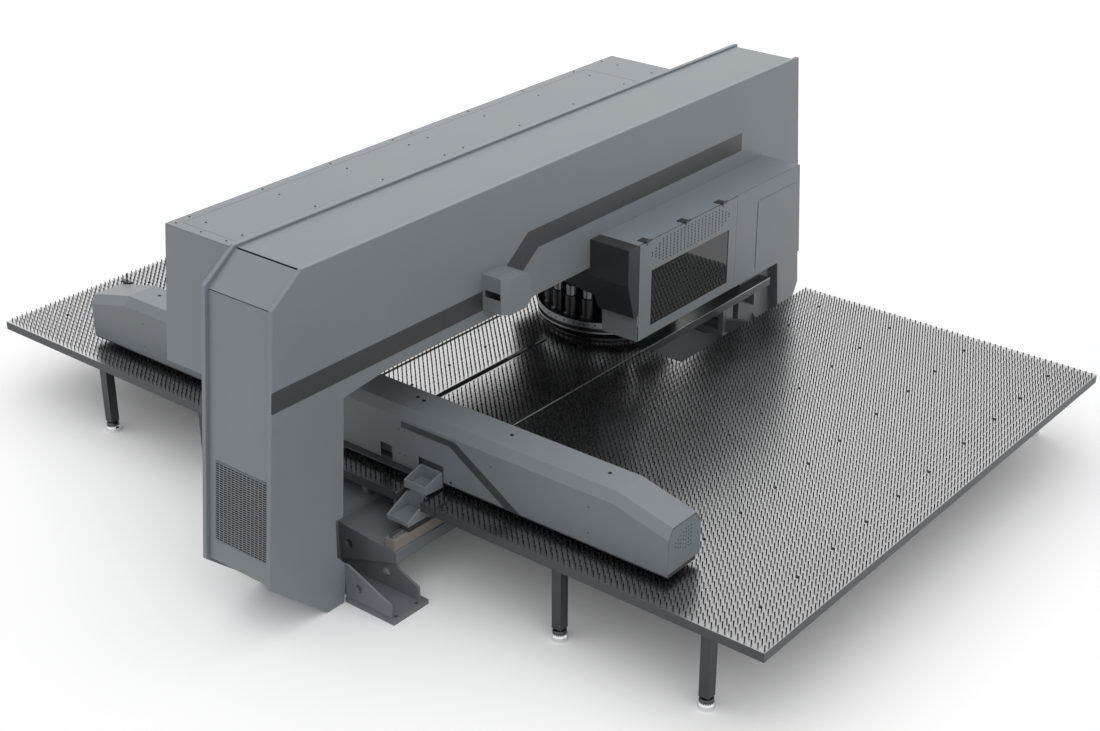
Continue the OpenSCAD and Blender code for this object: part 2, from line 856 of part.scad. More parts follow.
// Guide block of the laser head, on the front plate
module laser_guide() {
  color("#5a6064")
    difference() {
      box(front_x, front_x + 24, laser_y - 30, laser_y + 30, beam_z + 4, beam_z + 54);
      box(front_x + 16 - run_fit, front_x + 25, laser_y - 12 - run_fit, laser_y + 12 + run_fit,
        beam_z + 3, beam_z + 55);
    }
}

// Cross section of the X beam cover
module cover_section(y0, y1, z0, z1) {
  polygon([[y0, z0], [y0, z1 - 60], [y0 + 40, z1], [y1 - 45, z1], [y1, z1 - 60], [y1, z0]]);
}

// Solid of the X beam cover, straight in the middle and tapered at both ends
module cover_solid(x, y0, y1, z0, z1, drop) {
  along_x(-taper_x, taper_x)
    cover_section(y0, y1, z0, z1);
  for (s = [-1, 1]) {
    hull() {
      translate([s * taper_x, 0, 0])
        along_x(-0.5, 0.5)
          cover_section(y0, y1, z0, z1);
      translate([s * (x - 0.5), 0, 0])
        along_x(-0.5, 0.5)
          cover_section(y0, y1, z0, z1 - drop);
    }
  }
}

// Sheet cover of the X beam
module beam_cover() {
  color("#a0a5a8")
    difference() {
      cover_solid(cover_x, cover_y0, cover_y1, cover_z0, cover_z1, taper_drop);
      cover_solid(cover_x + 1, in_y0, in_y1, cover_z0 - 1, cover_z1 - cover_t, taper_drop);
      box(-2190, 2190, in_y1 - 20, cover_y1 + 1, cover_z0 - 1, base_plate_z1 + 74);
      box(287, 383, cover_y0 - 1, in_y0 + 1, cover_z0 - 1, 676);
      box(590, 784, cover_y0 - 1, in_y0 + 1, cover_z0 - 1, 679);
    }
}

// End caps of the X beam with a fan of vent holes
module beam_end_caps() {
  z1 = cover_z1 - cover_t - taper_drop;
  pitch = 24;
  color("#8b9196")
    for (s = [-1, 1]) {
      along_x(s * (cover_x - 3) - 3, s * (cover_x - 3) + 3)
        difference() {
          cover_section(in_y0 + 0.5, in_y1 - 0.5, base_plate_z1, z1 - 4);
          for (i = [0 : 6]) {
            for (j = [0 : min(i + 1, 5)]) {
              translate([in_y0 + 61 + pitch * i, 742 + pitch * (j - min(i + 1, 5) / 2)])
                circle(r = 6, $fn = 16);
            }
          }
        }
    }
}

// Base plate of the X beam with a light flange at the front
module beam_base_plate() {
  color("#44484a") {
    box(-cover_x, cover_x, in_y0, cover_y0 + 262, base_plate_z0, base_plate_z1);
    box(-300, 580, cover_y0 - 43, in_y0, base_plate_z0, base_plate_z0 + 8);
  }
}

// Dark stripe on the near face of the X beam
module beam_stripe() {
  color("#41464a")
    along_y(cover_y0 - 2, cover_y0)
      polygon([[465, 830], [465, 870], [882, 870], [1356, cover_z0], [1247, cover_z0], [840, 830]]);
}

// Tray-shaped bracket between the X beam and the front rail
module guide_bracket() {
  tray_y0 = cover_y0 - 293;
  tray_y1 = cover_y0 - 108;
  shelf_y0 = cover_y0 - 141;
  low_lip = 437;
  low_back = 516;
  back_z0 = seat_z + rail_h + 4;
  shelf_lip = 597;
  shelf_back = 637;
  color("#7d8284") {
    box(tray_x0, tray_x1, tray_y0, tray_y1, car_z1, car_z1 + tray_t);
    box(tray_x0, tray_x1, tray_y0, tray_y0 + tray_t, car_z1, low_lip);
    box(tray_x0, tray_x1, tray_y1 - tray_t, tray_y1, back_z0, low_back);
    for (x = [tray_x0, tray_x1 - tray_t]) {
      along_x(x, x + tray_t)
        polygon([[tray_y0, car_z1], [tray_y0, low_lip], [tray_y1 - tray_t, low_back], [tray_y1, low_back],
          [tray_y1, back_z0], [tray_y1 - tray_t, back_z0], [tray_y1 - tray_t, car_z1]]);
      along_x(x, x + tray_t)
        polygon([[shelf_y0, brush_top], [shelf_y0, shelf_lip], [in_y0 - tray_t, shelf_back],
          [in_y0, shelf_back], [in_y0, 538], [in_y0 - tray_t, 538]]);
    }
    box(tray_x0 + 30, tray_x1 - 30, tray_y1 - tray_t, tray_y1, low_back - 6, brush_top + 4);
    box(tray_x0, tray_x1, shelf_y0, in_y0, brush_top, brush_top + tray_t);
    box(tray_x0, tray_x1, shelf_y0, shelf_y0 + tray_t, brush_top, shelf_lip);
    box(tray_x0, tray_x1, in_y0 - tray_t, in_y0, 538, shelf_back);
  }
}

// Carriages on the two Y rails
module guide_carriages() {
  color("#303335") {
    difference() {
      box(y_rail_front - 37, y_rail_front + 37, -1780, -1615, car_z0, car_z1);
      box(y_rail_front - rail_w / 2 - run_fit, y_rail_front + rail_w / 2 + run_fit, -1781, -1614,
        car_z0 - 1, seat_z + rail_h + run_fit);
    }
    difference() {
      box(y_rail_rear - 37, y_rail_rear + 37, -1470, -1250, car_z0, car_z1);
      box(y_rail_rear - rail_w / 2 - run_fit, y_rail_rear + rail_w / 2 + run_fit, -1471, -1249,
        car_z0 - 1, seat_z + rail_h + run_fit);
    }
  }
}

// Rear guide web and nut web, both through slots in the middle deck
module under_webs() {
  color("#7d8284") {
    box(y_rail_rear - 37, y_rail_rear + 37, -1470, -1250, car_z1, car_z1 + 12);
    box(y_rail_rear - 6, y_rail_rear + 6, -1470, -1250, car_z1, base_plate_z0);
    difference() {
      union() {
        box(slot_b_x - 12, slot_b_x + 12, -1480, -1420, y_screw_z, base_plate_z0);
        bar_y(slot_b_x, y_screw_z, 34, -1490, -1410);
      }
      bar_y(slot_b_x, y_screw_z, y_screw_r + run_fit, -1491, -1409);
    }
  }
}

// Box beam inside the cover
module x_beam() {
  color("#5a6064")
    difference() {
      box(-2300, 2300, box_y0, box_y1, base_plate_z1, box_z1);
      box(-2301, 2301, box_y0 + 10, box_y1 - 10, base_plate_z1 + 10, box_z1 - 10);
    }
}

// Linear rails on the far side of the box beam
module x_rails() {
  color("#c8cbcd")
    for (z = x_rail_z) {
      box(-2300, 2300, box_y1, box_y1 + 16, z - 10, z + 10);
    }
}

// Bearing blocks and motor of the X screw
module x_drive() {
  color("#3a3e41") {
    difference() {
      for (x = [-2230, 2200]) {
        box(x, x + 30, box_y1, x_screw_y + 28, x_screw_z - 28, x_screw_z + 28);
      }
      bar_x(x_screw_y, x_screw_z, x_screw_r + run_fit, -2226, 2226);
    }
    bar_x(x_screw_y, x_screw_z, 30, -2340, -2230);
  }
}

// Moving table leaf with ribs and running shoes
module table_leaf() {
  color("#cdcdcb") {
    difference() {
      box(leaf_x0, leaf_x1, table_y0, leaf_y1, band_z, deck_z);
      box(leaf_x0 + band_t, leaf_x1 - band_t, table_y0 + band_t, leaf_y1 - band_t, band_z - 1, under_z);
      box(leaf_x0 - 1, tray_x1, table_y0 - 1, in_y0 + 6, band_z - 2, deck_z + 1);
    }
    box(tray_x1, tray_x1 + band_t, table_y0, in_y0 + 6, band_z, deck_z);
    box(leaf_x0, tray_x1 + band_t, in_y0 + 6, in_y0 + 6 + band_t, band_z, deck_z);
    for (y = [-1100, -500, 100, leaf_y1 - 60]) {
      box(leaf_x0, leaf_x1, y, y + 10, band_z, under_z);
      box(leaf_x1 - 39, leaf_x1 - 9, y - 15, y + 25, leaf_rail_z + run_fit, band_z);
    }
  }
}

// Brush of the moving leaf
module leaf_brush() {
  color("#1c1d1e")
    difference() {
      brush_field(leaf_x0 + 12, leaf_x1 - 12, table_y0 + 15, leaf_y1 - 15);
      box(leaf_x0, tray_x1 + band_t, table_y0, in_y0 + 12, deck_z - 1, brush_top + 1);
    }
}

// Ball screw of the Y travel
module y_screw() {
  color("#c8cbcd") {
    bar_y(slot_b_x, y_screw_z, y_screw_r, -1665, 195);
    bar_y(slot_b_x, y_screw_z, y_screw_r - 4, -1690, -1665);
  }
}

// Ball screw of the X travel
module x_screw() {
  color("#c8cbcd") {
    bar_x(x_screw_y, x_screw_z, x_screw_r, -2225, 2225);
  }
}

// Carriage behind the X beam with three clamp bodies
module clamp_carriage() {
  color("#5a6064")
    difference() {
      union() {
        box(car_x0, car_x1, box_y1 + 20, box_y1 + 38, base_plate_z1 + 17, base_plate_z1 + 187);
        for (x = [car_x0, car_x1 - 120]) {
          for (z = x_rail_z) {
            box(x, x + 120, box_y1 + 3, box_y1 + 20, z - 20, z + 20);
          }
        }
        box(-1530, -1470, box_y1 + 38, x_screw_y + 26, x_screw_z - 26, x_screw_z + 26);
        for (x = clamp_x) {
          clamp_body(x);
        }
      }
      for (z = x_rail_z) {
        box(car_x0 - 1, car_x1 + 1, box_y1 - 1, box_y1 + 16 + run_fit, z - 10 - run_fit, z + 10 + run_fit);
      }
      bar_x(x_screw_y, x_screw_z, x_screw_r + run_fit, -1531, -1469);
      for (x = clamp_x) {
        bar_x(pivot_y, pivot_z, pivot_r + run_fit, x - clamp_w / 2 - 1, x + clamp_w / 2 + 1);
      }
    }
}

// Body of one clamp: arm, lower jaw, two ears for the upper jaw
module clamp_body(x) {
  y0 = box_y1 + 38;
  along_x(x - clamp_w / 2, x + clamp_w / 2)
    polygon([[y0, base_plate_z1 + 6], [pivot_y - 50, base_plate_z1 + 6], [pivot_y - 50, brush_top + 2],
      [pivot_y + 110, brush_top + 2], [pivot_y + 110, brush_top + 8], [pivot_y + 30, brush_top + 14],
      [pivot_y + 30, pivot_z - 22], [y0, pivot_z - 22]]);
  for (s = [-1, 1]) {
    along_x(x + s * (clamp_w / 2 - 7) - 7, x + s * (clamp_w / 2 - 7) + 7)
      polygon([[pivot_y - 24, pivot_z - 22], [pivot_y - 24, pivot_z + 10], [pivot_y - 10, pivot_z + 20],
        [pivot_y + 10, pivot_z + 20], [pivot_y + 20, pivot_z + 6], [pivot_y + 20, pivot_z - 22]]);
  }
}

// Upper jaw of a clamp with its pin
module clamp_jaw(x) {
  color("#303335") {
    bar_x(pivot_y, pivot_z, pivot_r, x - clamp_w / 2, x + clamp_w / 2);
    along_x(x - jaw_w / 2, x + jaw_w / 2)
      polygon([[pivot_y - 16, pivot_z - 12], [pivot_y - 16, pivot_z + 14], [pivot_y + 20, pivot_z + 14],
        [pivot_y + 100, brush_top + 44], [pivot_y + 110, brush_top + 16], [pivot_y + 106, brush_top + 12],
        [pivot_y + 94, brush_top + 12], [pivot_y + 84, brush_top + 34], [pivot_y + 40, pivot_z - 12]]);
  }
}

// First upper jaw
module clamp_jaw_1() {
  clamp_jaw(clamp_x[0]);
}

// Second upper jaw
module clamp_jaw_2() {
  clamp_jaw(clamp_x[1]);
}

// Third upper jaw
module clamp_jaw_3() {
  clamp_jaw(clamp_x[2]);
}

// Upper turret: disc, tool holders, hub and shaft
module upper_turret() {
  color("#45494c")
    translate([turret_x, turret_y, 0]) {
      translate([0, 0, upper_z])
        cylinder(r = turret_r, h = rim_lip, $fn = 96);
      translate([0, 0, upper_z + rim_lip - 2])
        cylinder(r = turret_r - rim_groove, h = 42 - rim_lip, $fn = 96);
      translate([0, 0, upper_z + 38])
        cylinder(r = turret_r, h = 42, $fn = 96);
      translate([0, 0, upper_z + 78])
        cylinder(r1 = 260, r2 = 150, h = 62, $fn = 64);
      translate([0, 0, upper_z + 138])
        cylinder(r = 150, h = 262, $fn = 64);
      translate([0, 0, upper_z + 398])
        cylinder(r = shaft_r, h = 1260 - upper_z - 398);
      for (i = [0 : stations - 1]) {
        rotate([0, 0, -90 + i * 360 / stations]) {
          translate([station_r, 0, upper_z - 12])
            cylinder(r = holder_r - 16, h = 14, $fn = 24);
          translate([station_r, 0, upper_z + 78])
            cylinder(r = holder_r, h = 142, $fn = 24);
          translate([station_r, 0, upper_z + 218])
            cylinder(r = holder_r - 14, h = 82, $fn = 24);
        }
      }
    }
}

// Lower turret: disc with die seats and a bearing boss
module lower_turret() {
  color("#45494c")
    translate([turret_x, turret_y, 0])
      difference() {
        union() {
          translate([0, 0, 466])
            cylinder(r = lower_r, h = brush_top - 466, $fn = 96);
          translate([0, 0, base_z + 6])
            cylinder(r = 120, h = 468 - base_z);
        }
        for (i = [0 : stations - 1]) {
          rotate([0, 0, -90 + i * 360 / stations])
            translate([station_r, 0, brush_top - 12])
              cylinder(r = holder_r - 14, h = 13, $fn = 24);
        }
      }
}

// Punch ram
module punch_ram() {
  color("#c8cbcd")
    translate([turret_x, ram_y, ram_z])
      cylinder(r = ram_r, h = 1290 - ram_z);
}

// Laser head with its slide plate, rail and nozzle
module laser_head() {
  x0 = front_x + 24 + run_fit;
  color("#b4b8bb") {
    box(x0, x0 + 20, laser_y - 35, laser_y + 35, 860, 1498);
    box(front_x + 16, x0, laser_y - 12, laser_y + 12, 1200, 1498);
    translate([laser_x, laser_y, 830])
      cylinder(r = 36, h = 460);
    translate([laser_x, laser_y, 745])
      cylinder(r1 = 6, r2 = 30, h = 85);
  }
}

// Door of the hood with a window opening, a perforated field and three hinge knuckles
module hood_door() {
  y0 = hood_y0 + 6 + door_gap;
  y1 = hood_split - door_gap;
  color("#8b9196") {
    along_x(hood_x - 4, hood_x)
      difference() {
        translate([y0, hood_z0 + 2])
          square([y1 - y0, hood_z1 - 4 - hood_z0 - 2]);
        translate([window_y0, window_z0])
          square([window_y1 - window_y0, window_z1 - window_z0]);
        for (i = [0 : perf_cols - 1]) {
          e = min(i, perf_cols - 1 - i);
          for (j = [max(0, perf_rows / 2 - 1 - e) : min(perf_rows - 1, perf_rows / 2 + e)]) {
            translate([window_y0 + 3.5 + perf_dy * i, window_z1 + 37 + perf_dz * j])
              circle(r = perf_r, $fn = 16);
          }
        }
      }
    difference() {
      for (y = hinge_y) {
        box(hood_x, hood_x + 4, y - 8, y + 28, hood_z1 - 24, hinge_z);
        bar_y(hinge_x, hinge_z, hinge_r - run_fit, y - 8, y + 28);
      }
      for (y = hinge_y) {
        bar_y(hinge_x, hinge_z, hinge_pin_r + run_fit, y - 9, y + 29);
      }
    }
  }
}

// Window pane of the hood door
module door_window() {
  color("#303a3c")
    box(hood_x - 8, hood_x - 4, window_y0 - 12, window_y1 + 12, window_z0 - 12, window_z1 + 12);
}

base_frame();
guide_beds();
rail_seats();
y_rails();
y_drive();
anchor_feet();
front_plate();
rear_plate();
inner_skin();
top_cover();
near_end_panel();
near_grille();
far_end_panel();
accent_stripe();
far_inner_column();
rear_cabinet();
cabinet_lid();
side_box();
hood_shell();
hood_end_panel();
hood_access_panel();
front_deck();
mid_deck();
rear_deck();
front_table_frame();
rear_table_frame();
mid_supports();
levelling_feet();
front_brush();
mid_brush();
rear_brush();
turret_housing();
ram_guide();
laser_guide();
x_beam();
beam_cover();
beam_end_caps();
beam_base_plate();
beam_stripe();
guide_bracket();
guide_carriages();
under_webs();
x_rails();
x_drive();
table_leaf();
leaf_brush();
y_screw();
x_screw();
clamp_carriage();
clamp_jaw_1();
clamp_jaw_2();
clamp_jaw_3();
upper_turret();
lower_turret();
punch_ram();
laser_head();
hood_door();
door_window();
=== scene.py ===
# %% [markdown]
# # A punch-laser combination machine
# This lesson dresses a finished CAD model of a sheet metal machine. The CAD gives every solid its
# real size and place, and Blender adds the paint, the bristles, the softened edges and the screws.

# %% Load the solids
import json
import math

import bmesh
import bpy
from mathutils import Matrix, Vector, noise
from mathutils.bvhtree import BVHTree

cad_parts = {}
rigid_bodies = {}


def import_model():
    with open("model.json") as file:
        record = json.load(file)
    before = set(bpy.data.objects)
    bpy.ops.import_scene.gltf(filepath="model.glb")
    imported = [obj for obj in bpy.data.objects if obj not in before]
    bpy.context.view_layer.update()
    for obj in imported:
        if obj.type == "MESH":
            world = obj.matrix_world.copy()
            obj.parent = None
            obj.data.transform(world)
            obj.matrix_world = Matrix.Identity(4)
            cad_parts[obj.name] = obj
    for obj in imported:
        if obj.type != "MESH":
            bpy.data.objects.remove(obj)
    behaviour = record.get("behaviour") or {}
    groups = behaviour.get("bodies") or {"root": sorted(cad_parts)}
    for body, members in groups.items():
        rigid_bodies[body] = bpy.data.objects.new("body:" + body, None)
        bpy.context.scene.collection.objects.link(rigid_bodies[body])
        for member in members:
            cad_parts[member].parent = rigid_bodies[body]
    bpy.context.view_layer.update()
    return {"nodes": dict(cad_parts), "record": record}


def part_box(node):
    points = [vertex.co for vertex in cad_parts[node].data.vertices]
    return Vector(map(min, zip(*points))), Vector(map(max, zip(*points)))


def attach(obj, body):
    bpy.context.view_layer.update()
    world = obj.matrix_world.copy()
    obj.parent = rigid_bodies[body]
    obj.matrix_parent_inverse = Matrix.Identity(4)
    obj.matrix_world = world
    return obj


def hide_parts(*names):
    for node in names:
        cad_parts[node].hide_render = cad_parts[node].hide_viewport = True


for leftover in list(bpy.data.objects):
    bpy.data.objects.remove(leftover)
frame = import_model()
NODES = frame["nodes"]
BODY_OF = {n: b for b, members in frame["record"]["behaviour"]["bodies"].items() for n in members}
SLOT_OF = {row["node"]: row["material_slot"] for row in frame["record"]["subparts"]}
MM = 0.001

# %% [markdown]
# ## Camera
# The picture was taken from the front left corner, from above a person's head, with a mild tele
# lens. Camera place and view direction were worked out from the straight edges that run along the
# tables and the portal, so that the solids fall on the same places in the frame.

# %% Camera
CAMERA_PLACE = Vector((6.8906, -8.0741, 5.7860))
CAMERA_AIM = Vector((-0.56273, 0.69623, -0.44563))
SENSOR_WIDTH = 36.0
FOCAL_LENGTH = 58.94
FAR_CLIP = 200.0


def in_scene(name, data):
    """Makes an object from its data and links it into the scene."""
    made = bpy.data.objects.new(name, data)
    bpy.context.scene.collection.objects.link(made)
    return made


def aimed(direction):
    """The rotation that makes a camera or a lamp look along a direction."""
    return Vector(direction).to_track_quat("-Z", "Y").to_euler()


lens = bpy.data.cameras.new("camera")
lens.sensor_width = SENSOR_WIDTH
lens.lens = FOCAL_LENGTH
lens.clip_end = FAR_CLIP
camera = in_scene("camera", lens)
camera.location = CAMERA_PLACE
camera.rotation_euler = aimed(CAMERA_AIM)
bpy.context.scene.camera = camera
bpy.context.scene.view_settings.view_transform = "Standard"
print("camera", tuple(round(v, 2) for v in CAMERA_PLACE))

# %% [markdown]
# ## Shader maths in plain Python
# A finish is a small node tree. Writing it node by node hides the idea, so one class wraps a
# socket and lets values be added and multiplied, and another adds the nodes that the finishes
# share: a noise cloud, a blend of two colours and a bump. The Mix node has one set of sockets for
# each kind of data, so those for colours are known by their numbers.

# %% Sockets that can be added and multiplied
MIX_FACTOR, MIX_FIRST, MIX_SECOND, MIX_COLOUR = 0, 6, 7, 2
SEEN_RAYS = ("Is Camera Ray", "Is Glossy Ray", "Is Transmission Ray")


class Value:
    """A socket of a node tree. An expression on it adds the Math nodes that it needs."""

    def __init__(self, nodes, socket):
        self.nodes = nodes
        self.socket = socket

    def math(self, operation, other):
        return self.nodes.node("ShaderNodeMath", {"operation": operation}, {0: self, 1: other})

    def __add__(self, other):
        return self.math("ADD", other)

    def __mul__(self, other):
        return self.math("MULTIPLY", other)

    def __or__(self, other):
        return self.math("MAXIMUM", other)


class NodeTree:
    """A node tree that grows by expressions."""

    def __init__(self, tree):
        self.tree = tree

    def node(self, kind, settings=None, inputs=None, output=0):
        made = self.tree.nodes.new(kind)
        for key, value in (settings or {}).items():
            setattr(made, key, value)
        for key, value in (inputs or {}).items():
            self.plug(made.inputs[key], value)
        return Value(self, made.outputs[output])

    def plug(self, socket, value):
        if isinstance(value, Value):
            self.tree.links.new(value.socket, socket)
        else:
            socket.default_value = value

    def place(self):
        return self.node("ShaderNodeTexCoord", output="Object")

    def cloud(self, scale, detail=2.0):
        inputs = {"Vector": self.place(), "Scale": scale, "Detail": detail}
        return self.node("ShaderNodeTexNoise", inputs=inputs)

    def blend(self, factor, first, second):
        inputs = {MIX_FACTOR: factor, MIX_FIRST: first, MIX_SECOND: second}
        return self.node("ShaderNodeMix", {"data_type": "RGBA"}, inputs, MIX_COLOUR)

    def bump(self, height, strength, distance):
        inputs = {"Height": height, "Strength": strength, "Distance": distance}
        return self.node("ShaderNodeBump", inputs=inputs)

    def seen(self):
        """1 for a ray that shows something: from the camera, off a shiny face, through glass."""
        rays = [self.node("ShaderNodeLightPath", output=kind) for kind in SEEN_RAYS]
        return rays[0] | rays[1] | rays[2]


class Finish(NodeTree):
    """One material and its nodes."""

    def __init__(self, name):
        self.material = bpy.data.materials.new(name)
        self.material.use_nodes = True
        super().__init__(self.material.node_tree)
        self.shader = self.tree.nodes["Principled BSDF"]

    def set(self, **inputs):
        for key, value in inputs.items():
            self.plug(self.shader.inputs[key.replace("_", " ")], value)


def shade(colour, factor):
    return tuple(min(1.0, c * factor) for c in colour) + (1.0,)


print("shader helpers ready")

# %% [markdown]
# ## Paints
# Machine panels are powder coated: a satin film with a fine orange peel and a colour that is never
# quite even. Two noise patterns give both. The coarse one moves the colour and the gloss a little
# across a panel, and the fine one is the grain of the coating, as a bump. Noise is about one half
# on average, so half of its swing is taken off the roughness again.

# %% Powder coat
PANEL_SCALE, PEEL_SCALE, PEEL_DETAIL = 2.5, 260.0, 3.0
PANEL_SWING, PEEL_SWING = 0.10, 0.06
PEEL_STRENGTH, PEEL_HEIGHT = 0.25, 0.6 * MM
PAINT_DARK, PAINT_LIGHT = 0.90, 1.10


def powder_coat(name, colour, roughness):
    finish = Finish(name)
    coarse = finish.cloud(PANEL_SCALE)
    fine = finish.cloud(PEEL_SCALE, PEEL_DETAIL)
    dark, light = shade(colour, PAINT_DARK), shade(colour, PAINT_LIGHT)
    smoothest = roughness - (PANEL_SWING + PEEL_SWING) / 2
    finish.set(Base_Color=finish.blend(coarse * 0.6 + fine * 0.4, dark, light))
    finish.set(Roughness=coarse * PANEL_SWING + fine * PEEL_SWING + smoothest)
    finish.set(Normal=finish.bump(fine, PEEL_STRENGTH, PEEL_HEIGHT))
    return finish.material


PAINT_TABLE = {
    "machine_grey": ((0.204, 0.230, 0.252), 0.42),
    "light_grey": ((0.186, 0.209, 0.228), 0.42),
    "frame_grey": ((0.165, 0.183, 0.200), 0.45),
    "stripe_grey": ((0.045, 0.050, 0.054), 0.40),
    "charcoal": ((0.027, 0.030, 0.033), 0.38),
    "beige_seat": ((0.255, 0.225, 0.200), 0.50),
}
PAINTS = {name: powder_coat(name, *row) for name, row in PAINT_TABLE.items()}
print("paints:", ", ".join(PAINTS))

# %% [markdown]
# ## Bare metal, bristles and glass
# The decks are bright sheet, the rails and the turret are ground steel, and the feet are chromed.
# Stretched noise along one axis gives the direction of grinding. The bristles are black nylon,
# and the window is a tinted safety pane.

# %% Metal, nylon, glass
LINE_SCALE, LINE_DETAIL, SHEET_SCALE = 40.0, 4.0, 3.0
LINE_SWING, SHEET_SWING = 0.16, 0.06
LINE_STRENGTH, LINE_HEIGHT = 0.08, 0.4 * MM
METAL_DARK, METAL_LIGHT = 0.86, 1.08


def ground_metal(name, colour, roughness, stretch):
    finish = Finish(name)
    stretched = finish.node("ShaderNodeMapping", {}, {"Vector": finish.place(), "Scale": stretch})
    inputs = {"Vector": stretched, "Scale": LINE_SCALE, "Detail": LINE_DETAIL}
    lines = finish.node("ShaderNodeTexNoise", inputs=inputs)
    coarse = finish.cloud(SHEET_SCALE)
    dark, light = shade(colour, METAL_DARK), shade(colour, METAL_LIGHT)
    smoothest = roughness - (LINE_SWING + SHEET_SWING) / 2
    finish.set(Base_Color=finish.blend(lines * 0.5 + coarse * 0.5, dark, light), Metallic=1.0)
    finish.set(Roughness=lines * LINE_SWING + coarse * SHEET_SWING + smoothest)
    finish.set(Normal=finish.bump(lines, LINE_STRENGTH, LINE_HEIGHT))
    return finish.material


def nylon(name, colour):
    finish = Finish(name)
    fine = finish.cloud(900.0)
    tint = finish.blend(fine, shade(colour, 0.6), shade(colour, 1.5))
    finish.set(Base_Color=tint, Roughness=fine * 0.2 + 0.62, Specular_IOR_Level=0.25)
    return finish.material


def tinted_glass(name, colour):
    finish = Finish(name)
    smear = finish.cloud(6.0, 4.0)
    tint = finish.blend(smear, shade(colour, 0.7), shade(colour, 1.3))
    finish.set(Base_Color=tint, Roughness=smear * 0.05 + 0.01, Alpha=smear * 0.04 + 0.90)
    finish.set(IOR=1.5, Coat_Weight=0.15, Coat_Roughness=0.02)
    return finish.material


METAL_TABLE = {
    "deck_white": ((0.44, 0.44, 0.44), 0.27, (1.0, 14.0, 1.0)),
    "dark_cast": ((0.10, 0.10, 0.105), 0.32, (1.0, 1.0, 8.0)),
    "ground_steel": ((0.50, 0.51, 0.52), 0.30, (6.0, 6.0, 1.0)),
    "bright_alloy": ((0.66, 0.67, 0.68), 0.32, (1.0, 1.0, 9.0)),
    "chrome_feet": ((0.80, 0.81, 0.82), 0.13, (1.0, 1.0, 1.0)),
}
METALS = {name: ground_metal(name, *row) for name, row in METAL_TABLE.items()}
OTHERS = {
    "brush_black": nylon("brush_black", (0.006, 0.006, 0.007)),
    "tinted_pane": tinted_glass("tinted_pane", (0.012, 0.013, 0.014)),
}
FINISHES = {**PAINTS, **METALS, **OTHERS}
print("finishes:", len(FINISHES))

# %% [markdown]
# ## A finish for every solid
# The record names a finish for each solid. The guides deep inside the portal get charcoal instead:
# painted shade, as what shows through the throat lies in deep shade.

# %% Give the solids their finish
# Painted shade: these guides deep in the throat are made charcoal because they lie in shade.
PAINTED_SHADE_INSIDE = ("ram_guide", "turret_housing", "laser_guide")
for node, solid in NODES.items():
    solid.data.materials.clear()
    solid.data.materials.append(FINISHES["charcoal" if node in PAINTED_SHADE_INSIDE else SLOT_OF[node]])
print("solids with a finish:", len(NODES))

# %% [markdown]
# ## From a bmesh to a piece
# Every piece made here ends the same way: its mesh becomes an object at the origin, it gets a
# finish, and it rides on the body that carries it on the real machine.

# %% Finish a piece
def piece(name, bm, body, slot, node=None, smooth=False):
    mesh = bpy.data.meshes.new(name)
    bm.to_mesh(mesh)
    bm.free()
    for face in mesh.polygons:
        face.use_smooth = smooth
    made = in_scene(name, mesh)
    mesh.materials.append(FINISHES[slot])
    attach(made, body)
    if node:
        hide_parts(node)
    return made


print("piece helper ready")

# %% [markdown]
# ## Blocks, bevels and turned profiles
# Most pieces come from a few operations: a block between two corners, a bevel on sharp edges, and
# a profile turned round an axis, as on a lathe. A solid from the CAD is copied with its doubles
# merged and its flat faces joined, so that only its true edges are left to bevel.

# %% Tools that make a form
MERGE_DISTANCE = 0.02 * MM
SEAM_DISTANCE = 0.005 * MM
FLAT_ANGLE = math.radians(0.5)
SHARP_ANGLE = math.radians(25)
ROUND_SEGMENTS = 2


def cuboid(bm, low, high):
    """Adds a block between two corners."""
    centre = (Vector(low) + Vector(high)) / 2
    size = Vector(high) - Vector(low)
    matrix = Matrix.Translation(centre) @ Matrix.Diagonal((*size, 1.0))
    bmesh.ops.create_cube(bm, size=1.0, matrix=matrix)


def bevelled(bm, edges, width, segments):
    """Rounds the given edges and returns the new faces."""
    made = bmesh.ops.bevel(bm, geom=edges, offset=width, offset_type="OFFSET", affect="EDGES",
                           segments=segments, profile=0.5, material=-1, clamp_overlap=True)
    return made["faces"]


def round_off(bm, width):
    """Bevels every edge that turns sharply."""
    inner = [e for e in bm.edges if len(e.link_faces) == 2]
    sharp = [e for e in inner if e.calc_face_angle(0.0) > SHARP_ANGLE]
    bevelled(bm, sharp, width, ROUND_SEGMENTS)


def rounded_block(low, high, width):
    bm = bmesh.new()
    cuboid(bm, low, high)
    round_off(bm, width)
    return bm


def clean_copy(node):
    """A copy of a solid with its doubles merged and its flat faces joined."""
    bm = bmesh.new()
    bm.from_mesh(NODES[node].data)
    bmesh.ops.remove_doubles(bm, verts=bm.verts, dist=MERGE_DISTANCE)
    bmesh.ops.dissolve_limit(bm, angle_limit=FLAT_ANGLE, verts=bm.verts, edges=bm.edges)
    return bm


def turned(profile, steps):
    """Turns a profile of radius and height, in millimetres, round the Z axis."""
    bm = bmesh.new()
    corners = [bm.verts.new((radius * MM, 0.0, height * MM)) for radius, height in profile]
    lines = [bm.edges.new(pair) for pair in zip(corners, corners[1:])]
    bmesh.ops.spin(bm, geom=corners + lines, cent=(0, 0, 0), axis=(0, 0, 1), angle=2 * math.pi,
                   steps=steps, use_merge=True)
    bmesh.ops.remove_doubles(bm, verts=bm.verts, dist=SEAM_DISTANCE)
    bmesh.ops.recalc_face_normals(bm, faces=bm.faces)
    return bm


print("form tools ready")

# %% [markdown]
# ## Rows and copies
# Tufts, slots and screws repeat by the hundred. A straight spin with copying makes a row out of
# what is there. Where the copies stand free, each place is a matrix, made from a point and from
# the direction of the face that carries the copy.

# %% Tools that repeat a form
HERE = (Matrix.Identity(4),)


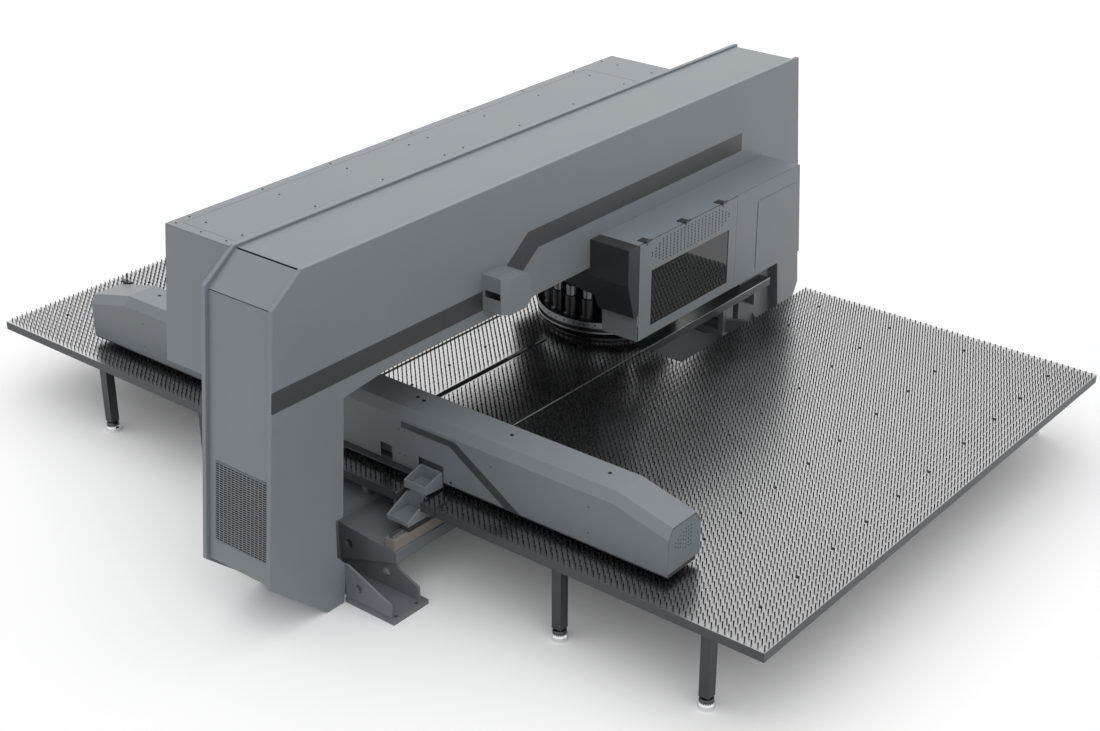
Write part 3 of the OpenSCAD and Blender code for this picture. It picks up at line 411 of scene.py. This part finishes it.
def repeat(bm, step, times):
    """Copies everything in bm along step, as a row."""
    bmesh.ops.spin(bm, geom=bm.verts[:] + bm.edges[:] + bm.faces[:], cent=(0, 0, 0),
                   axis=(0, 0, 1), dvec=step, angle=0.0, steps=times, use_duplicate=True)


def copied(bm, source, places=HERE):
    """Adds a copy of another bmesh at each place, and frees that bmesh."""
    mesh = bpy.data.meshes.new("source")
    source.to_mesh(mesh)
    source.free()
    for place in places:
        placed = mesh.copy()
        placed.transform(place)
        bm.from_mesh(placed)
        bpy.data.meshes.remove(placed)
    bpy.data.meshes.remove(mesh)
    return bm


def facing(place, normal):
    """The matrix that stands something on a face: at the place, with Z along the normal."""
    return Matrix.Translation(place) @ Vector(normal).to_track_quat("Z", "Y").to_matrix().to_4x4()


print("copy tools ready")

# %% [markdown]
# ## Softened edges
# A folded or sawn edge is never a perfect line: it catches the light as a thin bright strip. Each
# large panel is a clean copy of its solid with every sharp edge bevelled, by the width in
# millimetres that such a sheet or casting has. The legs of the tables are painted dark.

# %% Bevel the large solids
SOFT_EDGES = {
    "front_plate": 4.0, "rear_plate": 4.0, "top_cover": 1.5, "near_end_panel": 1.5,
    "rear_cabinet": 2.0, "cabinet_lid": 1.5, "side_box": 1.2, "hood_end_panel": 2.5,
    "hood_access_panel": 1.2, "beam_cover": 2.0, "beam_base_plate": 2.0, "guide_bracket": 1.5,
    "anchor_feet": 2.5, "rail_seats": 2.5, "front_table_frame": 2.5, "rear_table_frame": 2.5,
    "far_inner_column": 1.5, "x_beam": 2.0, "guide_carriages": 1.5, "guide_beds": 3.0,
    "accent_stripe": 0.6, "beam_stripe": 0.6,
}
DARK_LEGS = {"front_table_frame": "charcoal", "rear_table_frame": "charcoal"}
for node, width in SOFT_EDGES.items():
    panel = clean_copy(node)
    round_off(panel, width * MM)
    piece(node + "_soft", panel, BODY_OF[node], DARK_LEGS.get(node, SLOT_OF[node]), node)
print("softened:", len(SOFT_EDGES))

# %% [markdown]
# ## Brush tufts
# Sheets slide over thousands of nylon tufts. One tuft is a short six-sided bundle, wider at the
# tip, and two straight spins with copying make a row and then a field. A ray cast down on the
# solid brush rows tells which tufts stand over a slot or over the turret, and those are deleted.
# The narrow strip of deck under the hood is bare sheet, so its tufts go as well.

# %% Tuft fields
TUFT_PITCH = 40 * MM
TUFT_SIDES = 6
TUFT_FOOT, TUFT_TIP = 3.4 * MM, 4.2 * MM
TUFT_LEAN, TUFT_TRIM = 3 * MM, 1.5 * MM
ROW_FLOOR = 1 * MM
RAY_START = 0.1
DOWN = Vector((0, 0, -1))
BARE_STRIP = {"mid_brush": (0.497, 0.700)}
NO_STRIP = (math.inf, math.inf)


def faces_of(node):
    """The faces of a solid, sorted so that a ray finds its hit quickly."""
    mesh = NODES[node].data
    corners = [v.co for v in mesh.vertices]
    return BVHTree.FromPolygons(corners, [f.vertices[:] for f in mesh.polygons])


def tuft_field(node):
    low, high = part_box(node)
    counts = [math.floor((high[i] - low[i] - 2 * TUFT_TIP) / TUFT_PITCH) for i in (0, 1)]
    first = [(low[i] + high[i] - counts[i] * TUFT_PITCH) / 2 for i in (0, 1)]
    height = high[2] - low[2]
    middle = Matrix.Translation((first[0], first[1], low[2] + height / 2))
    bm = bmesh.new()
    bmesh.ops.create_cone(bm, cap_ends=True, segments=TUFT_SIDES, radius1=TUFT_FOOT,
                          radius2=TUFT_TIP, depth=height, matrix=middle)
    repeat(bm, (TUFT_PITCH, 0, 0), counts[0])
    repeat(bm, (0, TUFT_PITCH, 0), counts[1])
    return bm, first


def lean_and_thin(bm, node, first):
    low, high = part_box(node)
    rows = faces_of(node)
    strip_x, strip_y = BARE_STRIP.get(node, NO_STRIP)
    drop = []
    for vert in bm.verts:
        cell = [round((vert.co[i] - first[i]) / TUFT_PITCH) for i in (0, 1)]
        x, y = (first[i] + cell[i] * TUFT_PITCH for i in (0, 1))
        hit = rows.ray_cast(Vector((x, y, high[2] + RAY_START)), DOWN)[0]
        if hit is None or hit.z < low[2] + ROW_FLOOR or (x > strip_x and y > strip_y):
            drop.append(vert)
        elif vert.co.z > (low[2] + high[2]) / 2:
            chance = noise.cell_vector(Vector((cell[0] + 0.5, cell[1] + 0.5, 0.5)))
            vert.co.x += (chance.x - 0.5) * TUFT_LEAN
            vert.co.y += (chance.y - 0.5) * TUFT_LEAN
            vert.co.z -= chance.z * TUFT_TRIM
    bmesh.ops.delete(bm, geom=drop, context="VERTS")


FIELD_START = {}
for node in ("front_brush", "mid_brush", "rear_brush", "leaf_brush"):
    field, FIELD_START[node] = tuft_field(node)
    lean_and_thin(field, node, FIELD_START[node])
    print(node, "tufts:", len(field.verts) // (2 * TUFT_SIDES))
    piece(node + "_tufts", field, BODY_OF[node], "brush_black", node)

# %% [markdown]
# ## Edge bands of the tables
# The decks are bright, but their folded edge is painted dark. A second finish on the side faces
# of a deck copy does that: the faces are told apart by the direction they look. Only the middle
# deck has a bright, rounded fold on its front side, where it borders on the open bay, and a
# strip of black sheet lies along it as painted shade from the hood.

# %% Decks with dark bands
BRIGHT, BAND = 0, 1
FOLD = 4 * MM
FOLD_SEGMENTS = 3


def bright_fold(bm, corner):
    """Rounds the upper front edge of a deck, which ends at this corner of its box."""
    x, z = corner[0] - FOLD, corner[2] - FOLD
    fold = [e for e in bm.edges if all(v.co.x > x and v.co.z > z for v in e.verts)]
    for face in bevelled(bm, fold, FOLD, FOLD_SEGMENTS):
        face.material_index = BRIGHT


for node in ("front_deck", "mid_deck", "rear_deck", "table_leaf"):
    deck = clean_copy(node)
    for face in deck.faces:
        face.material_index = BRIGHT if face.normal.z > 0.5 else BAND
    if node == "mid_deck":
        bright_fold(deck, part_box(node)[1])
    made = piece(node + "_banded", deck, BODY_OF[node], "deck_white", node)
    made.data.materials.append(FINISHES["stripe_grey"])
    print(made.name, len(made.data.polygons), "faces")

# %% [markdown]
# ## Strip along the bay
# Between the bare deck under the hood and its bright fold lies a flat black strip: painted shade,
# where the deck lies in the shadow of the hood. It is a thin block with softened edges, and it ends
# short of the fold and of the deck's end.

# %% Black strip on the middle deck
STRIP_LAP, STRIP_START, STRIP_END = 16 * MM, 40 * MM, 6 * MM
STRIP_FOOT, STRIP_TOP, STRIP_EDGE = 0.05 * MM, 1.5 * MM, 0.4 * MM


# Painted shade: the charcoal strip stands where the deck lies in the hood's shadow.
def bay_shade_strip():
    x, y = BARE_STRIP["mid_brush"]
    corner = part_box("mid_deck")[1]
    low = (x - STRIP_LAP, y + STRIP_START, corner[2] + STRIP_FOOT)
    high = (corner[0] - 2 * FOLD, corner[1] - STRIP_END, corner[2] + STRIP_TOP)
    return piece("bay_shade_strip", rounded_block(low, high, STRIP_EDGE), BODY_OF["mid_deck"], "charcoal")


print("made", bay_shade_strip().name)

# %% [markdown]
# ## Two finishes on one solid
# The hood hangs on three dark hinges, and the hinge leaves belong to the same solids as the sheet
# metal. A copy of the solid gets a second finish on the faces that pass a test, here on all faces
# that lie above the hood's top sheet. The same test by place gives the turret a ground rim, paints
# dark reflection on the chrome nut at the neck of each levelling foot, and paints shade on the
# underside of the portal beam, which lies in deep shade.

# %% Dark hinges, dark necks, ground rim
HOOD_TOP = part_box("hood_end_panel")[1][2]
HINGE_FOOT = HOOD_TOP + 0.3 * MM
BEAM_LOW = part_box("rear_cabinet")[0][2]
PAINTED_SHADE_LOW = BEAM_LOW - 40 * MM
NECK_REFLECTION_Z = 40 * MM
TURRET_LOW, TURRET_HIGH = (Vector(c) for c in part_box("upper_turret"))
TURRET_AXIS = Vector(((TURRET_LOW.x + TURRET_HIGH.x) / 2, (TURRET_LOW.y + TURRET_HIGH.y) / 2, 0))
RIM_R = (TURRET_HIGH.x - TURRET_LOW.x) / 2
RIM_SKIN = 2 * MM
DISC_Z = TURRET_LOW.z + 92 * MM


def two_tone(node, test, other_slot):
    bm = clean_copy(node)
    changed = [face for face in bm.faces if test(face.calc_center_median())]
    for face in changed:
        face.material_index = 1
    print(node, other_slot, "faces:", len(changed))
    made = piece(node + "_two_tone", bm, BODY_OF[node], SLOT_OF[node], node)
    made.data.materials.append(FINISHES[other_slot])


def on_rim(c):
    return c.z < DISC_Z - 1 * MM and (c.xy - TURRET_AXIS.xy).length > RIM_R - RIM_SKIN


two_tone("hood_shell", lambda c: c.z > HINGE_FOOT, "charcoal")
two_tone("hood_door", lambda c: c.z > HINGE_FOOT, "charcoal")
# Painted reflection: dark metal on the chrome nut above this height stands in for the dark it
# mirrors.
two_tone("levelling_feet", lambda c: c.z > NECK_REFLECTION_Z, "dark_cast")
two_tone("upper_turret", on_rim, "ground_steel")
# Painted shade: the underside of the beam over the throat is charcoal because it lies in deep shade.
two_tone("inner_skin", lambda c: c.z > PAINTED_SHADE_LOW, "charcoal")

# %% [markdown]
# ## What lies behind the holes
# Round holes in sheet metal look dark because the inside lies in shade. A black mat paints that
# shade: a thin rounded block close behind the perforated field of the door. A rubber seal under the
# edge of the top sheet closes the gap above the door, or the floor would shine through it.

# %% Shade mat and seal of the door
MAT_BACK, MAT_FRONT, MAT_EDGE = 1.5 * MM, 0.3 * MM, 0.4 * MM
MAT_ABOVE_PANE, MAT_BELOW_TOP = 6 * MM, 14 * MM
SEAL_DEPTH, SEAL_END, SEAL_EDGE = 30 * MM, 6 * MM, 1.0 * MM
SEAL_LOW, SEAL_HIGH = HOOD_TOP - 20 * MM, HOOD_TOP - 4.2 * MM
SEAL_FRONT = 0.8745


# Painted shade: a black mat behind the holes stands in for the shade inside the hood.
def door_mat():
    low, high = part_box("door_window")
    block = rounded_block((high[0] - MAT_BACK, low[1], high[2] + MAT_ABOVE_PANE),
                          (high[0] - MAT_FRONT, high[1], HOOD_TOP - MAT_BELOW_TOP), MAT_EDGE)
    return piece("door_shade_mat", block, "hood_door", "brush_black")


def door_seal():
    low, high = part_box("hood_door")
    block = rounded_block((high[0] - SEAL_DEPTH, low[1] + SEAL_END, SEAL_LOW),
                          (SEAL_FRONT, high[1] - SEAL_END, SEAL_HIGH), SEAL_EDGE)
    return piece("door_seal", block, BODY_OF["hood_shell"], "brush_black")


print("made", door_mat().name, door_seal().name)

# %% [markdown]
# ## Ventilation grille
# The grille of the near end is a thin sheet with many rows of short slots. Cutting over 400 slots
# would be slow, so the sheet is laid out as what is left between them: level bars, and upright
# webs that cross them. Each is made once and repeated as a row, and four border strips close the
# sheet. The grille leans, so the direction of its largest face turns it, and a black mat behind it
# paints the shade inside the slots.

# %% Grille of bars and webs
GRILLE_W, GRILLE_H = 402 * MM, 468 * MM
SHEET_X, SHEET_Z = 209 * MM, 240 * MM
SLOT_COLUMNS, SLOT_ROWS = 13, 34
WEB = 5 * MM
BAR = 5 * MM
GRILLE_FRONT, GRILLE_BACK = -2.5 * MM, -1.3 * MM
BACKING_X, BACKING_Z, BACKING_T, BACKING_EDGE = 205 * MM, 236 * MM, 1.2 * MM, 0.3 * MM


def grille_row(low, high, step, times):
    bm = bmesh.new()
    cuboid(bm, low, high)
    repeat(bm, step, times)
    return bm


def grille_bars():
    row, column = GRILLE_H / SLOT_ROWS, GRILLE_W / SLOT_COLUMNS
    left, foot = -GRILLE_W / 2, -GRILLE_H / 2
    bm = bmesh.new()
    copied(bm, grille_row((left, GRILLE_FRONT, foot - BAR / 2),
                          (-left, GRILLE_BACK, foot + BAR / 2), (0, 0, row), SLOT_ROWS))
    copied(bm, grille_row((left - WEB / 2, GRILLE_FRONT, foot),
                          (left + WEB / 2, GRILLE_BACK, -foot), (column, 0, 0), SLOT_COLUMNS))
    for x0, x1 in ((-SHEET_X, left), (-left, SHEET_X)):
        cuboid(bm, (x0, GRILLE_FRONT, -SHEET_Z), (x1, GRILLE_BACK, SHEET_Z))
    for z0, z1 in ((-SHEET_Z, foot), (-foot, SHEET_Z)):
        cuboid(bm, (left, GRILLE_FRONT, z0), (-left, GRILLE_BACK, z1))
    return bm


def leaning(bm):
    """Turns a mesh made round the origin into the plane of the grille."""
    normal = max(NODES["near_grille"].data.polygons, key=lambda f: f.area).normal
    outward = normal if normal.y < 0 else -normal
    low, high = (Vector(c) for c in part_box("near_grille"))
    lean = math.atan2(outward.z, -outward.y)
    place = Matrix.Translation((low + high) / 2) @ Matrix.Rotation(-lean, 4, "X")
    bmesh.ops.transform(bm, matrix=place, verts=bm.verts)
    return bm


bars = piece("near_grille_bars", leaning(grille_bars()), BODY_OF["near_grille"], "machine_grey",
             "near_grille")
# Painted shade: a black mat behind the slots stands in for the shade inside the near end.
backing = rounded_block((-BACKING_X, -BACKING_T, -BACKING_Z), (BACKING_X, 0, BACKING_Z), BACKING_EDGE)
piece("grille_shade_mat", leaning(backing), BODY_OF["near_grille"], "brush_black")
print("grille faces:", len(bars.data.polygons))

# %% [markdown]
# ## Screws and plugs
# Every cover is held by small dark screws. One head is a profile turned about its axis: a rim, a
# rounded edge and a sunk socket. A plug is a low dome that closes a hole. The copies stand on the
# face that carries them, so a list of points and the direction of that face place them all.

# %% Screw heads and plugs
UP, NEAR_SIDE, REAR_SIDE = (0, 0, 1), (0, -1, 0), (-1, 0, 0)
HEAD_STEPS, DOME_STEPS = 12, 16


def head_profile(radius):
    return [(0, 0), (radius, 0), (radius, 0.25 * radius), (0.8 * radius, 0.42 * radius),
            (0.45 * radius, 0.42 * radius), (0.45 * radius, 0.15 * radius), (0, 0.15 * radius)]


def dome_profile(radius):
    return [(0, 0), (radius, 0), (radius, 0.8), (0.86 * radius, 1.6), (0.5 * radius, 2.2), (0, 2.4)]


def standing(name, seed, body, slot, spots, normal):
    places = [facing(spot, normal) for spot in spots]
    piece(name, copied(bmesh.new(), seed, places), body, slot, smooth=True)
    print(name, len(spots))


def screws(name, body, radius, spots, normal=UP):
    standing(name, turned(head_profile(radius), HEAD_STEPS), body, "charcoal", spots, normal)


def plugs(name, body, radius, spots, normal=UP):
    standing(name, turned(dome_profile(radius), DOME_STEPS), body, "brush_black", spots, normal)


LID_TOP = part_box("cabinet_lid")[1][2]
LID_ROWS_X = (-0.012, -0.302, -0.438)
LID_COLUMNS_Y = (1.562, 1.250, 0.705, 0.162, -0.370, -0.537, -1.070, -1.612, -2.155)
LID_NEAR = [(x, -2.262, LID_TOP) for x in (-0.020, -0.220, -0.425)]
LID_GRID = [(x, y, LID_TOP) for x in LID_ROWS_X for y in LID_COLUMNS_Y]
screws("lid_screws", "base", 6.5, LID_GRID + LID_NEAR)

COVER_LOW, COVER_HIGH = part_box("beam_cover")
COVER_X = (0.445, 0.487, 1.146, 1.836)
COVER_Z = (0.808, 0.648)
TOP_PLUGS = ((0.442, -1.319), (0.500, -1.330), (1.165, -1.328), (1.849, -1.322))
BOTH_ENDS = (-1, 1)
screws("cover_screws", "gantry", 4.5,
       [(s * x, COVER_LOW[1], z) for s in BOTH_ENDS for x in COVER_X for z in COVER_Z], NEAR_SIDE)
plugs("cover_plugs", "gantry", 12.0,
      [(s * x, y, COVER_HIGH[2]) for s in BOTH_ENDS for x, y in TOP_PLUGS])
plugs("cover_side_plug", "gantry", 8.0, [(0.842, COVER_LOW[1], 0.596)], NEAR_SIDE)

# %% [markdown]
# ## Deck screws
# A sparse grid of larger screws holds each deck. Each one stands in the middle between four tufts,
# so its place is moved to the nearest gap of the tuft field, and left out over an opening.

# %% Screws between the tufts
DECK_Y = (2.050, 1.662, 1.275, 0.885, 0.462, 0.098, -0.266, -0.630, -0.994, -1.358)
DECK_X = {"front_brush": (1.128, 1.700, 2.270, 2.840),
          "rear_brush": (-1.128, -1.700, -2.270, -2.840),
          "mid_brush": (0.310, -0.261)}
DECK_SCREW_R = 11.0
REACH = 24 * MM
ABOVE_TABLES = 2.0


def gap_nearest(value, start):
    return start + (math.floor((value - start) / TUFT_PITCH) + 0.5) * TUFT_PITCH


def all_solid(rows, x, y):
    """True where the brush rows lie under a spot and on all four sides of it."""
    probes = [(x, y), (x - REACH, y), (x + REACH, y), (x, y - REACH), (x, y + REACH)]
    return all(rows.ray_cast(Vector((a, b, ABOVE_TABLES)), DOWN)[0] for a, b in probes)


for node, columns in DECK_X.items():
    start = FIELD_START[node]
    deck_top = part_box(node)[0][2]
    rows = faces_of(node)
    grid = [(gap_nearest(x, start[0]), gap_nearest(y, start[1])) for x in columns for y in DECK_Y]
    screws(node.replace("brush", "deck") + "_screws", BODY_OF[node], DECK_SCREW_R,
           [(x, y, deck_top) for x, y in grid if all_solid(rows, x, y)])

# %% [markdown]
# ## Lid seams
# The lid of the rear cabinet is a raised panel inside a border. Its joint shows as a fine dark
# line, made here from thin strips that lie on the sheet.

# %% Seams on the cabinet lid
SEAM = 3 * MM
SEAM_LIFT = 0.3 * MM
SEAM_LOW, SEAM_HIGH = LID_TOP - SEAM_LIFT, LID_TOP + SEAM_LIFT
PANEL_X0, PANEL_X1 = -0.402, 0.030
PANEL_Y0, PANEL_Y1 = -2.237, 1.350
seams = bmesh.new()
cuboid(seams, (PANEL_X0, PANEL_Y0, SEAM_LOW), (PANEL_X0 + SEAM, PANEL_Y1, SEAM_HIGH))
for y in (PANEL_Y0, PANEL_Y1):
    cuboid(seams, (PANEL_X0, y, SEAM_LOW), (PANEL_X1, y + SEAM, SEAM_HIGH))
piece("lid_seams", seams, "base", "stripe_grey")
print("lid seams laid")

# %% [markdown]
# ## Tools in the turret
# Each tool holder carries a return spring above its guide and a flange on the disc, and a row of
# small bolts runs round the rim. Spring and flange are turned profiles, and one matrix per station
# sets them round the axis of the turret.

# %% Springs, flanges, rim bolts
STATIONS = 20
STATION_R = 400 * MM
TOOL_FOOT = DISC_Z - 80 * MM
COIL_R, COIL_SWING, COIL_LOW, COIL_STEP, COIL_CORNERS = 32.3, 6.0, 222, 5.0, 15
COILS = [(COIL_R + COIL_SWING * (i % 2), COIL_LOW + COIL_STEP * i) for i in range(COIL_CORNERS)]
FLANGE = [(46.2, 80), (57, 80), (57, 88), (54, 91), (49, 91), (46.2, 96)]
SPRING_STEPS, FLANGE_STEPS, BOLT_STEPS = 20, 24, 10
RIM_BOLTS, RIM_BOLT_R = 40, 6.0
RIM_BOLT_Z = DISC_Z - 21 * MM
OUTWARD = Matrix.Rotation(math.pi / 2, 4, "Y")


def around(radius, height, count):
    for i in range(count):
        turn = Matrix.Rotation(2 * math.pi * i / count, 4, "Z")
        yield Matrix.Translation(TURRET_AXIS) @ turn @ Matrix.Translation((radius, 0, height))


stations = list(around(STATION_R, TOOL_FOOT, STATIONS))
rim_places = [place @ OUTWARD for place in around(RIM_R, RIM_BOLT_Z, RIM_BOLTS)]
springs = copied(bmesh.new(), turned(COILS, SPRING_STEPS), stations)
flanges = copied(bmesh.new(), turned(FLANGE, FLANGE_STEPS), stations)
bolts = copied(bmesh.new(), turned(head_profile(RIM_BOLT_R), BOLT_STEPS), rim_places)
piece("tool_springs", springs, BODY_OF["upper_turret"], "ground_steel", smooth=True)
piece("tool_flanges", flanges, BODY_OF["upper_turret"], "dark_cast")
piece("rim_bolts", bolts, BODY_OF["upper_turret"], "charcoal")
print("turret radius", round(RIM_R, 3))

# %% [markdown]
# ## Shade aprons behind the throat
# The deck under the portal mirrors the throat, which lies in deep shade. Two charcoal aprons are
# painted shade there: they close the throat at the back down to just above the X beam, and behind
# the turret, where the X beam never comes, down to just above the sheet. An apron is a folded sheet:
# a line of corners is its profile, one extrusion gives the length, and solidify the thickness. The
# long one has its flange under the rear cabinet, and the deep one is screwed to the long one.

# %% Folded shade aprons
APRON_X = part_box("rear_cabinet")[0][0] + 14 * MM
APRON_T = 2.5 * MM
APRON_TOP = BEAM_LOW - 0.05 * MM
APRON_LOW = COVER_HIGH[2] + 28 * MM
APRON_LAP = 60 * MM
APRON_LIP = 10 * MM
SHEET_PASS = 0.625
LONG_START, DEEP_START, APRON_END = -0.970, 0.620, 1.700
LONG_PROFILE = [(40, APRON_TOP), (0, APRON_TOP), (0, APRON_LOW + APRON_LIP), (10, APRON_LOW),
                (26, APRON_LOW)]
DEEP_PROFILE = [(-4, APRON_LOW + APRON_LAP), (-4, SHEET_PASS + APRON_LIP), (-14, SHEET_PASS),
                (-30, SHEET_PASS)]
APRON_SCREWS, APRON_SCREW_R = 10, 6.0
APRON_SCREW_Y, APRON_SCREW_STEP, APRON_SCREW_Z = -0.90, 0.28, BEAM_LOW - 26 * MM


def folded_sheet(name, profile, y0, y1):
    bm = bmesh.new()
    corners = [bm.verts.new((APRON_X + x * MM, y0, z)) for x, z in profile]
    lines = [bm.edges.new(pair) for pair in zip(corners, corners[1:])]
    long_side = bmesh.ops.extrude_edge_only(bm, edges=lines)["geom"]
    moved = [v for v in long_side if isinstance(v, bmesh.types.BMVert)]
    bmesh.ops.translate(bm, vec=(0, y1 - y0, 0), verts=moved)
    bmesh.ops.recalc_face_normals(bm, faces=bm.faces)
    bmesh.ops.solidify(bm, geom=bm.faces[:], thickness=APRON_T)
    bmesh.ops.recalc_face_normals(bm, faces=bm.faces)
    lift = profile[0][1] - max(v.co.z for v in bm.verts)
    bmesh.ops.translate(bm, vec=(0, 0, lift), verts=bm.verts)
    return piece(name, bm, "base", "charcoal")


# Painted shade: these charcoal sheets stand in for the shade inside the throat.
long_shade_apron = folded_sheet("rear_shade_apron", LONG_PROFILE, LONG_START, APRON_END)
folded_sheet("turret_shade_apron", DEEP_PROFILE, DEEP_START, APRON_END)
rear_face = min(v.co.x for v in long_shade_apron.data.vertices)
screws("apron_screws", "base", APRON_SCREW_R,
       [(rear_face, APRON_SCREW_Y + APRON_SCREW_STEP * i, APRON_SCREW_Z)
        for i in range(APRON_SCREWS)], REAR_SIDE)

# %% [markdown]
# ## Small stop on the X beam
# On the far end of the X beam, a pin stands on a bar and a small block. It is a finger-sized
# switch stop, built from two rounded blocks and a turned pin.

# %% Stop with a pin
STOP_FOOT, STOP_SHELF, STOP_TOP = 0.838, 0.868, 0.884
STOP_EDGE = 1.2 * MM
PIN = [(0, 0), (7, 0), (7, 8), (5, 10), (5, 50), (3.5, 54), (0, 55)]
PIN_STEPS = 16


def beam_stop():
    end = COVER_LOW[0]
    side = COVER_HIGH[1]
    bm = bmesh.new()
    cuboid(bm, (end + 14 * MM, side - 40 * MM, STOP_FOOT), (end + 58 * MM, side - 2 * MM, STOP_SHELF))
    cuboid(bm, (end - 8 * MM, side - 34 * MM, STOP_SHELF), (end + 76 * MM, side - 6 * MM, STOP_TOP))
    round_off(bm, STOP_EDGE)
    place = Matrix.Translation((end + 36 * MM, side - 19 * MM, STOP_TOP))
    copied(bm, turned(PIN, PIN_STEPS), [place])
    return piece("beam_stop", bm, "gantry", "charcoal")


print("made", beam_stop().name)

# %% [markdown]
# ## Floor
# The machine stands on a white studio floor. The floor looks white to the camera and in shiny
# metal, but throws back less light than a white floor would, so that upright faces stay darker
# than tops. The kind of ray tells the two apart.

# %% Studio floor
FLOOR_SIZE = 60.0
FLOOR_GLOW = 0.04
BLACK, WHITE = (0.0, 0.0, 0.0, 1.0), (1.0, 1.0, 1.0, 1.0)
BOUNCE = (0.55, 0.55, 0.55, 1.0)
FLOOR_DARK, FLOOR_LIGHT = (0.97, 0.97, 0.97, 1.0), (0.99, 0.99, 0.99, 1.0)


def pale_floor():
    finish = Finish("pale_floor")
    seen = finish.seen()
    white = finish.blend(finish.cloud(0.4), FLOOR_DARK, FLOOR_LIGHT)
    finish.set(Base_Color=finish.blend(seen, BOUNCE, white), Roughness=0.9, Specular_IOR_Level=0.0)
    finish.set(Emission_Color=finish.blend(seen, BLACK, WHITE), Emission_Strength=FLOOR_GLOW)
    return finish.material


floor_grid = bmesh.new()
bmesh.ops.create_grid(floor_grid, x_segments=2, y_segments=2, size=FLOOR_SIZE)
floor_mesh = bpy.data.meshes.new("floor")
floor_grid.to_mesh(floor_mesh)
floor_grid.free()
floor_mesh.materials.append(pale_floor())
floor = in_scene("floor", floor_mesh)
print("floor laid")

# %% [markdown]
# ## World and lamps
# The world is white to the camera and to shiny metal, and dim as a light source. A very wide, soft
# sun stands overhead, and a weaker one lifts the front. A large soft box behind the machine lays a
# bright sheen on the decks, as the lit wall of a studio does. Light of the suns isn't mirrored, so
# they leave no bright discs on metal.

# %% World, suns, soft box
WORLD_LIGHT = 0.33
world = bpy.data.worlds.new("studio")
world.use_nodes = True
bpy.context.scene.world = world
sky = NodeTree(world.node_tree)
background = world.node_tree.nodes["Background"]
level = sky.node("ShaderNodeMapRange", {},
                 {"Value": sky.seen(), "To Min": WORLD_LIGHT, "To Max": 1.0}, "Result")
sky.plug(background.inputs["Strength"], level)
sky.plug(background.inputs["Color"], WHITE)


def wide_sun(name, aim, angle, power):
    lamp = bpy.data.lights.new(name, "SUN")
    lamp.angle = math.radians(angle)
    lamp.energy = power
    made = in_scene(name, lamp)
    made.rotation_euler = aimed(aim)
    made.visible_glossy = False


def soft_box(name, place, target, width, height, radiance):
    lamp = bpy.data.lights.new(name, "AREA")
    lamp.shape = "RECTANGLE"
    lamp.size = width
    lamp.size_y = height
    lamp.energy = 4 * width * height * radiance
    made = in_scene(name, lamp)
    made.location = place
    made.rotation_euler = aimed(Vector(target) - Vector(place))
    made.visible_camera = False


wide_sun("overhead", (0.06, 0.10, -1.0), 120.0, 2.0)
wide_sun("front_fill", (-1.0, 0.30, -0.30), 60.0, 0.52)
soft_box("back_box", (-7.5, 8.8, 6.2), (0.0, 0.0, 0.5), 16.0, 6.0, 0.45)
print("studio ready")
